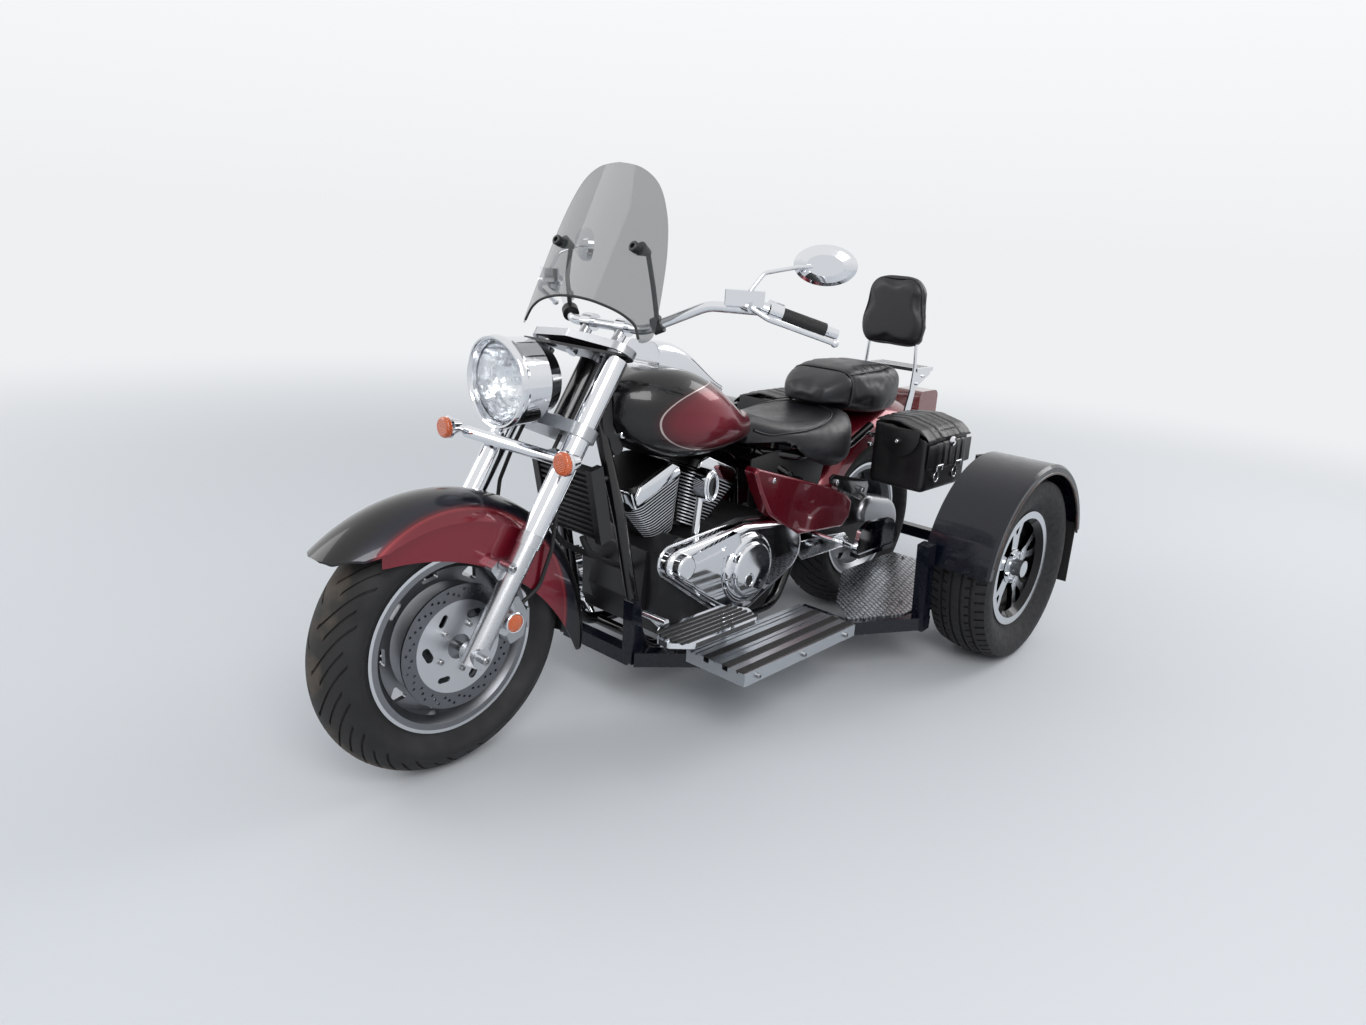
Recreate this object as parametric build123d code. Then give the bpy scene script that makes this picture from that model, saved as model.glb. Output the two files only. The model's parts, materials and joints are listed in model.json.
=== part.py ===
from build123d import *
from math import cos, hypot, radians, sin, sqrt, tan
import os

# A cruiser motorcycle that stands upright on a bolt-on side-wheel kit, in millimetres.
# +Z is up, -Y is the way it drives, +X is its left.
# The origin is on the floor, under the middle of the machine.

# Driving sizes of the motorcycle
LENGTH = 2525.0
WHEELBASE = 1700.0
RAKE = 32.0
FORK_OFFSET = 55.0
FRONT_TYRE_R = 323.0
FRONT_TYRE_W = 150.0
FRONT_RIM_R = 218.0
FRONT_RIM_HALF = 52.0
REAR_TYRE_R = 316.5
REAR_TYRE_W = 180.0
REAR_RIM_R = 206.0
REAR_RIM_HALF = 66.0
FRAME_TUBE_R = 17.0
AXLE_R = 10.0
WALL = 3.0

# Driving sizes of the side-wheel kit
SIDE_TYRE_R = 300.0
SIDE_TYRE_W = 186.0
SIDE_RIM_R = 186.0
SIDE_RIM_HALF = 68.0
SIDE_WHEEL_X = 590.0
KIT_TUBE = 40.0

# Clearances
CLEAR = 0.3
FIT = 0.05

# The neck of the frame, which carries the fork
NECK_Y, NECK_LOW_Z, NECK_HIGH_Z = -576.58, 800.0, 934.0
NECK_R, STEM_R = 34.0, 16.0


def steer_y(z):
    """Where the steering axis is at height z."""
    return NECK_Y + (z - NECK_LOW_Z) * tan(radians(RAKE))


def fork_y(z):
    """Where the fork tubes' axis, which passes through the front axle, is at height z."""
    return steer_y(z) - FORK_OFFSET / cos(radians(RAKE))


# Places that follow: axles as (y, z), and the plate at the tail
FRONT_AXLE = (fork_y(FRONT_TYRE_R), FRONT_TYRE_R)
REAR_AXLE = (FRONT_AXLE[0] + WHEELBASE, REAR_TYRE_R)
SIDE_AXLE = (REAR_AXLE[0] + 8.0, SIDE_TYRE_R)
NOSE_Y = FRONT_AXLE[0] - FRONT_TYRE_R
PLATE_Y = NOSE_Y + LENGTH
MIDDLE_Y = NOSE_Y + LENGTH / 2
BACK = REAR_AXLE[0]
STEER_DIR = (0, sin(radians(RAKE)), cos(radians(RAKE)))


# Small tools for making solids

def block(x0, x1, y0, y1, z0, z1):
    return Pos((x0 + x1) / 2, (y0 + y1) / 2, (z0 + z1) / 2) * Box(abs(x1 - x0), abs(y1 - y0), abs(z1 - z0))


def rod(start, end, radius, end_radius=None):
    """A round bar, or a cone, from one point to another."""
    start, end = Vector(*start), Vector(*end)
    place = Plane(origin=start, z_dir=end - start)
    reach = (end - start).length
    low = (Align.CENTER, Align.CENTER, Align.MIN)
    if end_radius is None:
        return place * Cylinder(radius, reach, align=low)
    return place * Cone(radius, end_radius, reach, align=low)


def pipe(points, bends, radius):
    """A tube of straight runs joined by arcs, one bend radius for each corner."""
    path = FilletPolyline(*points, radius=bends)
    return sweep(Plane(origin=path @ 0, z_dir=path % 0) * Circle(radius), path=path)


def square_bar(start, end, size):
    start, end = Vector(*start), Vector(*end)
    place = Plane(origin=start, x_dir=(0, 0, 1), z_dir=end - start)
    return extrude(place * Rectangle(size, size), (end - start).length)


def slab(outline, x0, x1, corner=0.0):
    """A plate whose outline lies in the Y-Z plane, from x0 to x1."""
    face = Polygon(*outline, align=None)
    if corner:
        face = fillet(face.vertices(), corner)
    return extrude(Plane.YZ.offset(x0) * face, x1 - x0, dir=(1, 0, 0))


def boss(x, y, z, radius, height, edge):
    """A round boss that stands on a face looking along X, with its outer edge rounded."""
    low = (Align.CENTER, Align.CENTER, Align.MIN)
    made = Pos(x, y, z) * Rot(0, 90 if height > 0 else -90, 0) * Cylinder(radius, abs(height), align=low)
    faces = made.faces().sort_by(Axis.X)
    return fillet((faces[-1] if height > 0 else faces[0]).edges(), edge)


def both(piece):
    """The piece and its mirror image on the other side of the machine."""
    return piece + mirror(piece, about=Plane.YZ)


def beside(axle, points):
    """Points given from an axle's centre, as places on the machine."""
    return [(axle[0] + y, axle[1] + z) for y, z in points]


def spun(profile, axle, x=0.0):
    """A profile of (along the axle, radius) points turned round an axle."""
    face = make_face(Polyline(*profile, close=True))
    return Pos(x, *axle) * revolve(face, axis=Axis.X)


def along(a, b, distance):
    """The point that lies a distance from a on the line to b."""
    a, b = Vector(*a), Vector(*b)
    p = a + (b - a).normalized() * distance
    return (p.X, p.Y, p.Z)


def crowned_shell(centre, radius, half, crown, skirt, wall, start, end):
    """A fender: a crowned channel turned about the line along X at centre, from one angle to another.
    Angles are in degrees, 0 towards the rear and 90 straight up. With no wall given it is filled."""
    edge, foot = radius - crown, radius - skirt
    with BuildPart() as made:
        with BuildSketch(Plane.XY):
            with BuildLine():
                Line((-half, foot), (-half, edge))
                ThreePointArc((-half, edge), (0, radius), (half, edge))
                if wall is None:
                    Polyline((half, edge), (half, foot), (-half, foot))
                else:
                    Polyline((half, edge), (half, foot), (half - wall, foot), (half - wall, edge))
                    ThreePointArc((half - wall, edge), (0, radius - wall), (wall - half, edge))
                    Polyline((wall - half, edge), (wall - half, foot), (-half, foot))
            make_face()
        revolve(axis=Axis.X, revolution_arc=end - start)
    return Pos(0, *centre) * Rot(start, 0, 0) * made.part


def lofted(sections):
    """A smooth body through rounded upright sections: columns are y, half width, low z, high z, corner."""
    faces = []
    for y, half, low, high, corner in sections:
        plane = Plane(origin=(0, y, (low + high) / 2), x_dir=(1, 0, 0), z_dir=(0, -1, 0))
        faces.append(plane * RectangleRounded(2 * half, high - low, corner))
    return loft(faces)


# Wheels

def tyre(radius, width, rim_radius, rim_half, crown, axle, x=0.0):
    """A hollow ring with a rounded tread. crown is how far the shoulder falls below the tread's middle."""
    half, bead, seat = width / 2, rim_half - 6, rim_radius - 14
    shoulder = radius - crown
    middle = (rim_radius + shoulder) / 2
    with BuildPart() as made:
        with BuildSketch(Plane.XY):
            with BuildLine():
                Polyline((bead - 12, seat), (bead, seat), (bead + 3, rim_radius + 8))
                ThreePointArc((bead + 3, rim_radius + 8), (half, middle + 6), (half - 4, shoulder))
                ThreePointArc((half - 4, shoulder), (0, radius), (4 - half, shoulder))
                ThreePointArc((4 - half, shoulder), (-half, middle + 6), (-bead - 3, rim_radius + 8))
                Polyline((-bead - 3, rim_radius + 8), (-bead, seat), (12 - bead, seat),
                         (10 - bead, rim_radius + 6), (16 - half, middle))
                ThreePointArc((16 - half, middle), (0, radius - 22), (half - 16, middle))
                Polyline((half - 16, middle), (bead - 10, rim_radius + 6), (bead - 12, seat))
            make_face()
        revolve(axis=Axis.X)
    return Pos(x, *axle) * made.part


def rim_ring(rim_radius, half):
    """The wheel's rim: two lips, bead seats and a drop centre, as (along, radius) points."""
    lip, seat, drop = rim_radius, rim_radius - 14, rim_radius - 34
    outer = [(-half, lip), (4 - half, lip), (6 - half, seat), (24 - half, seat), (30 - half, drop)]
    outer += [(-a, r) for a, r in reversed(outer)]
    inner = [(half, seat - 8), (half - 20, drop - 4), (20 - half, drop - 4), (-half, seat - 8)]
    return outer + inner


def hub(radius, half):
    bore = AXLE_R + FIT
    edge = [(half, radius - 4), (half - 4, radius), (4 - half, radius), (-half, radius - 4)]
    return [(-half, bore), (half, bore)] + edge


def around_axle(cutter, count, turn=0.0):
    """Copies of a cutter turned evenly about the axle through the origin."""
    return [Rot(turn + 360.0 * i / count, 0, 0) * cutter for i in range(count)]


WINDOWS = 9


def dished_wheel(rim_radius, half, hub_half, axle):
    """A cast dished disc with rounded windows beside the rim."""
    drop = rim_radius - 36
    dish = [(-6, 40), (8, 40), (24, 92), (24, 108), (8, 140), (4, drop)]
    dish += [(-8, drop), (-8, 130), (8, 104), (8, 92)]
    wheel = revolve(make_face(Polyline(*rim_ring(rim_radius, half), close=True)), axis=Axis.X)
    wheel += revolve(make_face(Polyline(*dish, close=True)), axis=Axis.X)
    wheel += revolve(make_face(Polyline(*hub(42, hub_half), close=True)), axis=Axis.X)
    window = Plane.YZ.offset(-15) * Pos(0, rim_radius - 54) * fillet(Trapezoid(50, 26, 60).vertices(), 5)
    for cut in around_axle(extrude(window, 60), WINDOWS, 12):
        wheel -= cut
    return Pos(0, *axle) * wheel


DISC_THICK = 5.0


def brake_disc(outer, carrier, x, side, axle):
    """A brake disc on its carrier, whose slanted windows are wide and narrow by turns."""
    disc = Plane.YZ.offset(x) * (Circle(outer) - Circle(AXLE_R + 20))
    for i in range(6):
        wide = 20 if i % 2 else 14
        slot = SlotOverall(40 if i % 2 else 32, wide, rotation=118)
        disc -= Plane.YZ.offset(x) * Rot(0, 0, 60 * i) * Pos(carrier * 0.74, 0) * slot
    return Pos(0, *axle) * extrude(disc, DISC_THICK * side)


def spoked_wheel(rim_radius, half, face_x, spokes):
    """A cast wheel with split spokes: each one forks into two legs towards the rim."""
    bore = AXLE_R + FIT
    wheel = revolve(make_face(Polyline(*rim_ring(rim_radius, half), close=True)), axis=Axis.X)
    centre = [(face_x - 22, bore), (face_x + 4, bore), (face_x + 4, 42), (face_x, 56), (face_x - 22, 60)]
    wheel += revolve(make_face(Polyline(*centre, close=True)), axis=Axis.X)
    reach = rim_radius - 34
    leg = Polygon((48, -20), (100, -24), (reach, -46), (reach, -20), (106, -5), (106, 5), (reach, 20),
                  (reach, 46), (100, 24), (48, 20), align=None)
    spoke = extrude(Plane.YZ.offset(face_x - 20) * leg, 18)
    for copy in around_axle(spoke, spokes, 90):
        wheel += copy
    cap = Plane.YZ.offset(face_x + 4) * Circle(30)
    return Pos(SIDE_WHEEL_X, *SIDE_AXLE) * (wheel + extrude(cap, 34, taper=6))


FRONT_HUB_HALF, REAR_HUB_HALF = 62.0, 70.0
FRONT_DISC_X, REAR_DISC_X = 66.0, 76.0
FRONT_DISC_R, REAR_DISC_R = 150.0, 140.0


def front_wheel():
    return dished_wheel(FRONT_RIM_R, FRONT_RIM_HALF, FRONT_HUB_HALF, FRONT_AXLE)


def front_tyre():
    return tyre(FRONT_TYRE_R, FRONT_TYRE_W, FRONT_RIM_R, FRONT_RIM_HALF, 46, FRONT_AXLE)


def front_discs():
    disc = brake_disc(FRONT_DISC_R, FRONT_DISC_R - 38, FRONT_DISC_X, 1, FRONT_AXLE)
    near = FRONT_HUB_HALF + CLEAR
    seat = spun([(near, 30), (FRONT_DISC_X, 30), (FRONT_DISC_X, 46), (near, 40)], FRONT_AXLE)
    return both(disc + seat)


def rear_wheel():
    return dished_wheel(REAR_RIM_R, REAR_RIM_HALF, REAR_HUB_HALF, REAR_AXLE)


def rear_tyre():
    return tyre(REAR_TYRE_R, REAR_TYRE_W, REAR_RIM_R, REAR_RIM_HALF, 40, REAR_AXLE)


def rear_disc():
    disc = brake_disc(REAR_DISC_R, REAR_DISC_R - 38, -REAR_DISC_X, -1, REAR_AXLE)
    near = REAR_HUB_HALF + CLEAR
    return disc + spun([(-near, 30), (-REAR_DISC_X, 30), (-REAR_DISC_X, 44), (-near, 40)], REAR_AXLE)


def side_wheel(side):
    wheel = spoked_wheel(SIDE_RIM_R, SIDE_RIM_HALF, 40, 5)
    return wheel if side > 0 else mirror(wheel, about=Plane.YZ)


def side_tyre(side):
    made = tyre(SIDE_TYRE_R, SIDE_TYRE_W, SIDE_RIM_R, SIDE_RIM_HALF, 14, SIDE_AXLE, SIDE_WHEEL_X)
    return made if side > 0 else mirror(made, about=Plane.YZ)


# Fork and what turns with it

FORK_X = 132.0
SLIDER_R, COVER_R = 26.0, 29.0
SLIDER_TOP_Z = FRONT_TYRE_R + 255.0
COVER_TOP_Z = 964.0
LOWER_CLAMP_Z, UPPER_CLAMP_Z = 770.0, 954.0
AXLE_EYE_R = 24.0


def fork_point(x, z, ahead=0.0):
    """A point beside the fork tube's axis at height z, set ahead of it square to the tube."""
    return (x, fork_y(z) - ahead * cos(radians(RAKE)), z + ahead * sin(radians(RAKE)))


def fork_legs():
    """The bare lower legs, each with its axle eye, a lug for the caliper and an ear for the fender."""
    low_z = FRONT_TYRE_R - 22
    leg = rod(fork_point(FORK_X, low_z), fork_point(FORK_X, SLIDER_TOP_Z), SLIDER_R)
    leg += rod(fork_point(FORK_X, SLIDER_TOP_Z - 26), fork_point(FORK_X, SLIDER_TOP_Z), SLIDER_R + 3)
    leg += rod((FORK_X - 28, *FRONT_AXLE), (FORK_X + 28, *FRONT_AXLE), AXLE_EYE_R)
    ear = beside(FRONT_AXLE, [(50, 189), (72, 205), (140, 197), (125, 147), (90, 132)])
    leg += slab(ear, FENDER_HALF, FORK_X - 12, 8)
    d = FRONT_DISC_R
    lug = beside(FRONT_AXLE, [(34, 57), (d - 70, 117), (d - 42, 102), (d - 22, 42), (d - 60, 17)])
    leg += slab(lug, FORK_X - 26, FORK_X - 8, 8)
    bolt_y, bolt_z = FRONT_AXLE[0] + 82, FRONT_AXLE[1] + 196
    leg += rod((FORK_X - 10, bolt_y, bolt_z), (FORK_X + 26, bolt_y, bolt_z), 12)
    leg -= rod((FORK_X - 40, *FRONT_AXLE), (FORK_X + 40, *FRONT_AXLE), AXLE_R + FIT)
    return both(leg)


def fork_tubes():
    """The bright covers over the upper fork tubes."""
    return both(rod(fork_point(FORK_X, SLIDER_TOP_Z + CLEAR), fork_point(FORK_X, COVER_TOP_Z), COVER_R))


def front_axle():
    reach = FORK_X + 34
    axle = rod((-reach, *FRONT_AXLE), (reach, *FRONT_AXLE), AXLE_R)
    return axle - rod((reach - 4, *FRONT_AXLE), (reach + 6, *FRONT_AXLE), AXLE_R * 0.6)


CLAMP_EYE = 9.0
CLAMP_BOSS_R = 30.0


def clamp_plate(z, thick, front_reach):
    """One fork clamp, square to the tubes, with its eyes round the fork covers."""
    place = Plane(origin=(0, steer_y(z), z), x_dir=(1, 0, 0), z_dir=STEER_DIR)
    eyes = [Pos(x, -FORK_OFFSET) * Circle(COVER_R + CLAMP_EYE) for x in (FORK_X, -FORK_X)]
    rounds = eyes + [Circle(CLAMP_BOSS_R), Pos(0, -FORK_OFFSET - front_reach) * Circle(20)]
    plate = make_hull(sum([r.edges() for r in rounds], ShapeList()))
    for x in (FORK_X, -FORK_X):
        plate -= Pos(x, -FORK_OFFSET) * Circle(COVER_R + CLEAR)
    return extrude(place * plate, thick, both=True)


def triple_clamps():
    low, high = LOWER_CLAMP_Z - 5, UPPER_CLAMP_Z + 12
    stem = rod((0, steer_y(low), low), (0, steer_y(high), high), STEM_R)
    return clamp_plate(LOWER_CLAMP_Z, 15, 30) + clamp_plate(UPPER_CLAMP_Z, 10, 40) + stem


FENDER_HALF = 95.0
FENDER_CROWN = 56.0
FENDER_CENTRE = (FRONT_AXLE[0] - 27.6, FRONT_TYRE_R - 71.6)
FENDER_R = FRONT_TYRE_R + 109.0
FENDER_TAIL, FENDER_NOSE = -4.5, 130.0


def front_fender():
    """A deep valanced fender: a crowned shell with a narrow nose, its skirts cut to a long curve."""
    shell = crowned_shell(FENDER_CENTRE, FENDER_R, FENDER_HALF, FENDER_CROWN, 175, WALL,
                          FENDER_TAIL, FENDER_NOSE)
    y, z = FRONT_AXLE
    skirt = circle_through((y - 257.5, z + 233), (y + 103.5, z + 162), (y + 319.5, z - 63))
    shell -= rod((-200, *skirt[:2]), (200, *skirt[:2]), skirt[2])
    wide, nose, tail = FENDER_HALF + 6, y - 312, y + FENDER_R + 80
    side = [(52, nose + 22), (84, nose + 76), (wide, nose + 150), (wide, tail)]
    plan = Polygon((0, nose), *side, *[(-x, y) for x, y in reversed(side)], align=None)
    return shell & extrude(fillet(plan.vertices().sort_by(Axis.Y)[:5], 24), 1000)


def circle_through(a, b, c):
    """Centre and radius of the circle through three (y, z) points."""
    d = 2 * (a[0] * (b[1] - c[1]) + b[0] * (c[1] - a[1]) + c[0] * (a[1] - b[1]))
    sa, sb, sc = (p[0] ** 2 + p[1] ** 2 for p in (a, b, c))
    y = (sa * (b[1] - c[1]) + sb * (c[1] - a[1]) + sc * (a[1] - b[1])) / d
    z = (sa * (c[0] - b[0]) + sb * (a[0] - c[0]) + sc * (b[0] - a[0])) / d
    return y, z, hypot(a[0] - y, a[1] - z)


PAD_GAP = 1.5


def brake_calipers():
    """Two halves each side of the disc, joined over its rim, with piston caps and a round reflector."""
    d, x, t = FRONT_DISC_R, FRONT_DISC_X, DISC_THICK
    outline = [(d - 58, 82), (d - 10, 102), (d + 20, 49), (d + 8, -5), (d - 32, -18), (d - 46, 22)]
    outline = beside(FRONT_AXLE, outline)
    y, z = FRONT_AXLE
    body = slab(outline, x + t + PAD_GAP, x + 40, 8) + slab(outline, x - 10, x - PAD_GAP, 8)
    body += block(x - 9, x + 39, y + d + 17, y + d + 25, z + 12, z + 62)
    body += rod((x + 39, y + d - 16, z + 29), (x + 47, y + d - 16, z + 29), 17)
    body += rod((x + 39, y + d - 52, z + 52), (FORK_X + 10, y + d - 52, z + 52), 19)
    return both(body)


HEAD_Z = 908.0
HEAD_R = 102.0
HEAD_RIM_Y, HEAD_LENS_Y = -790.0, -775.0
HEAD_WALL = 4.0


def headlamp():
    """A bowl-shaped shell with a rim and a small peak, open at the front for its lens, on a short stay."""
    r, w = HEAD_R, HEAD_WALL
    outer = [(0, -628), (44, -632), (80, -660), (r - 2, -705), (r, -745), (r + 3, HEAD_RIM_Y)]
    inner = [(r - 1, HEAD_RIM_Y), (r - w - 1, -770), (r - w - 2, -705), (76, -664), (42, -637), (0, -633)]
    bowl = Pos(0, 0, HEAD_Z) * revolve(make_face(Polyline(*outer, *inner, close=True)), axis=Axis.Y)
    ring = Plane.XZ.offset(-HEAD_RIM_Y - 2) * Pos(0, HEAD_Z) * (Circle(r + 3) - Circle(r - 1))
    peak = [(HEAD_RIM_Y + 2, HEAD_Z + 10), (HEAD_RIM_Y + 2, HEAD_Z + 120), (HEAD_RIM_Y - 14, HEAD_Z + 120)]
    bowl += extrude(ring, 16) & slab(peak, -r - 9, r + 9)
    stay = rod((0, -700, HEAD_Z - r + 30), (0, -700, LOWER_CLAMP_Z + 40), 26)
    hollow = make_face(Polyline((0, -800), (r - w - 1, -800), *inner[1:], close=True))
    return bowl + (stay - Pos(0, 0, HEAD_Z) * revolve(hollow, axis=Axis.Y))


def headlamp_lens():
    rim = HEAD_R - HEAD_WALL - 2
    face = make_face(Polyline((0, HEAD_LENS_Y - 14), (50, HEAD_LENS_Y - 11), (rim, HEAD_LENS_Y),
                              (rim, HEAD_LENS_Y + 5), (0, HEAD_LENS_Y - 4), close=True))
    return Pos(0, 0, HEAD_Z) * revolve(face, axis=Axis.Y)


def lamp_plate():
    """The flat cover that joins the fork tops above the headlamp."""
    outline = Polygon((-52, -672), (52, -672), (150, -560), (162, -525), (132, -496), (-132, -496),
                      (-162, -525), (-150, -560), align=None)
    sheet = extrude(fillet(outline.vertices(), 12), 6)
    return Pos(0, -500, COVER_TOP_Z + 4) * Rot(-10, 0, 0) * Pos(0, 500, 0) * sheet


IND_X, IND_Y, IND_Z = 223.0, -768.0, 762.0
IND_R = 27.0


def front_indicators():
    """A bar across the fork with a chrome cup at each end."""
    bar = rod((30 - IND_X, IND_Y + 38, IND_Z - 10), (IND_X - 30, IND_Y + 38, IND_Z - 10), 15)
    bar += both(rod((IND_X - 60, IND_Y + 38, IND_Z - 10), (IND_X, IND_Y + 26, IND_Z - 2), 9))
    bar += both(rod((IND_X, IND_Y + 34, IND_Z), (IND_X, IND_Y, IND_Z), 15, IND_R))
    return bar + both(block(96, 128, IND_Y + 32, IND_Y + 78, IND_Z - 18, IND_Z))


def indicator_lenses():
    low = (Align.CENTER, Align.CENTER, Align.MIN)
    lens = Pos(IND_X, IND_Y - CLEAR, IND_Z) * Rot(90, 0, 0) * Cylinder(IND_R, 16, align=low)
    return both(fillet(lens.edges().group_by(Axis.Y)[0], 8))


BAR_R = 12.7
BAR_Z = 1029.0
BAR_PATH = [(0, -448, BAR_Z), (130, -448, BAR_Z), (262, -372, BAR_Z + 70), (388, -286, BAR_Z + 68),
            (482, -150, BAR_Z + 20)]
BAR_BENDS = [60, 90, 70]
BAR_BEND, BAR_END = BAR_PATH[3:]
RISER_X = 62.0


def handlebar():
    half = pipe(BAR_PATH, BAR_BENDS, BAR_R)
    x = RISER_X
    riser = pipe([(x, -512, UPPER_CLAMP_Z), (x, -470, BAR_Z - 30), (x, -448, BAR_Z)], [30], 15)
    riser += Pos(RISER_X, -448, BAR_Z) * Rot(0, 90, 0) * Cylinder(22, 34)
    return both(half + riser)


def grips():
    grip = rod(along(BAR_BEND, BAR_END, 22), along(BAR_BEND, BAR_END, 138), 17)
    grip -= rod(BAR_BEND, along(BAR_BEND, BAR_END, 200), BAR_R + CLEAR)
    return both(grip)


def hand_controls():
    """Switch housings, hydraulic reservoirs and levers, one of each at each grip."""
    z = BAR_Z
    house = rod(along(BAR_BEND, BAR_END, -14), along(BAR_BEND, BAR_END, 20), 24)
    place = Plane(origin=(350, -345, z + 96), x_dir=(0.82, 0.57, 0), z_dir=(0, 0, 1))
    tank = place * Box(92, 46, 36)
    house += fillet(tank.edges().filter_by(Axis.Z), 6) + rod((350, -330, z + 84), (386, -300, z + 70), 16)
    lever = pipe([(376, -352, z + 76), (410, -330, z + 54), (505, -190, z + 4)], [40], 7)
    lever += rod((350, -345, z + 80), (378, -352, z + 76), 13) + Pos(505, -190, z + 4) * Sphere(10)
    house += lever
    return both(house - pipe(BAR_PATH, BAR_BENDS, BAR_R + CLEAR))


MIRROR = (425.0, -142.0, 1206.0)
MIRROR_TURN = 32.0


def mirrors():
    """Oval shells on bent stems, turned to face the rider."""
    x, y, z = MIRROR
    stem = [(356, -336, BAR_Z + 112), (366, -300, z - 23), (396, -215, z - 7), (x + 5, y - 4, z)]
    stem = pipe(stem, [24, 24], 5)
    turn = radians(MIRROR_TURN)
    faces = []
    for ahead, wide, tall in ((-6, 76, 48), (10, 76, 48), (22, 66, 40), (30, 44, 25)):
        centre = (x + ahead * sin(turn), y - ahead * cos(turn), z)
        place = Plane(origin=centre, x_dir=(cos(turn), sin(turn), 0), z_dir=(sin(turn), -cos(turn), 0))
        faces.append(place * Ellipse(wide, tall))
    return both(stem + loft(faces, ruled=True))


SCREEN_TILT = 24.0
SCREEN_R = 420.0
SCREEN_Y, SCREEN_Z = -598.0, 1030.0
SCREEN_THICK = 4.0


def windshield():
    """A sheet curved about a leaning axis and trimmed to a rounded outline, arched over the lamp."""
    side = [(225, 1010), (232, 1043), (218, 1130), (200, 1220), (172, 1305), (132, 1370), (78, 1403)]
    top = [(0, 1413)]
    arch = [(186, 1050), (207, 1012)]
    outline = side + top + [(-x, z) for x, z in reversed(side)] + [(-x, z) for x, z in reversed(arch)] + arch
    face = fillet(make_face(Polyline(*outline, close=True)).vertices(), 8)
    trim = extrude(Plane.XZ.offset(900) * face, -900)
    lean = Pos(0, SCREEN_Y, SCREEN_Z) * Rot(-SCREEN_TILT, 0, 0)
    tube = Cylinder(SCREEN_R, 700) - Cylinder(SCREEN_R - SCREEN_THICK, 700)
    return trim & (lean * Pos(0, SCREEN_R, 200) * tube) & (lean * block(-300, 300, -60, 150, -200, 600))


def screen_y(x, z):
    """The screen's front face at a point across and up."""
    tilt = radians(SCREEN_TILT)
    bow = SCREEN_R - sqrt(SCREEN_R ** 2 - x ** 2)
    return SCREEN_Y + (z - SCREEN_Z) * tan(tilt) + bow / cos(tilt)


def windshield_brackets():
    """Two rods that rise from clamps on the handlebar to round pads behind the screen."""
    x, z = 136, 1219
    y = screen_y(x, z)
    foot = along(BAR_PATH[1], BAR_PATH[2], 36)
    stay = pipe([foot, (foot[0] - 4, foot[1] - 18, foot[2] + 90), (x, y + 34, z - 6)], [60], 6)
    stay += rod(along(BAR_PATH[1], BAR_PATH[2], 24), along(BAR_PATH[1], BAR_PATH[2], 48), 21)
    stay += rod((x, y + 38, z - 10), (x, y + 10, z), 8, 17)
    return both(stay - pipe(BAR_PATH, BAR_BENDS, BAR_R + CLEAR))


def brake_hoses():
    """Flexible hoses from the lower clamp to each caliper, held at both ends."""
    y, z = FRONT_AXLE
    top = LOWER_CLAMP_Z + 15.2
    hose = pipe([(70, -650.7, top), (70, -682.5, top - 51), (112, -690, top - 145), (112, y + 234, z + 197),
                 (FRONT_DISC_X + 34, y + 207, z + 105), (FRONT_DISC_X + 34, y + FRONT_DISC_R + 4.5, z + 75)],
                [40, 40, 60, 40], 5)
    return both(hose)


# Frame and engine

RAIL_R = 14.0
RAIL_Z = 628.0
SPINE_R = 26.0
ENGINE_LOW_Z = 186.0
ENGINE_HALF = 150.0
CRANK_Y, CRANK_Z = -222.0, 330.0
V_HALF_ANGLE = 22.5
SWING_Y, SWING_Z, PIVOT_R = 268.0, 348.0, 11.0
STAND_PIVOT = (198.0, -152.0, 171.0)
STAND_PIN_R = 7.0


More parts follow.
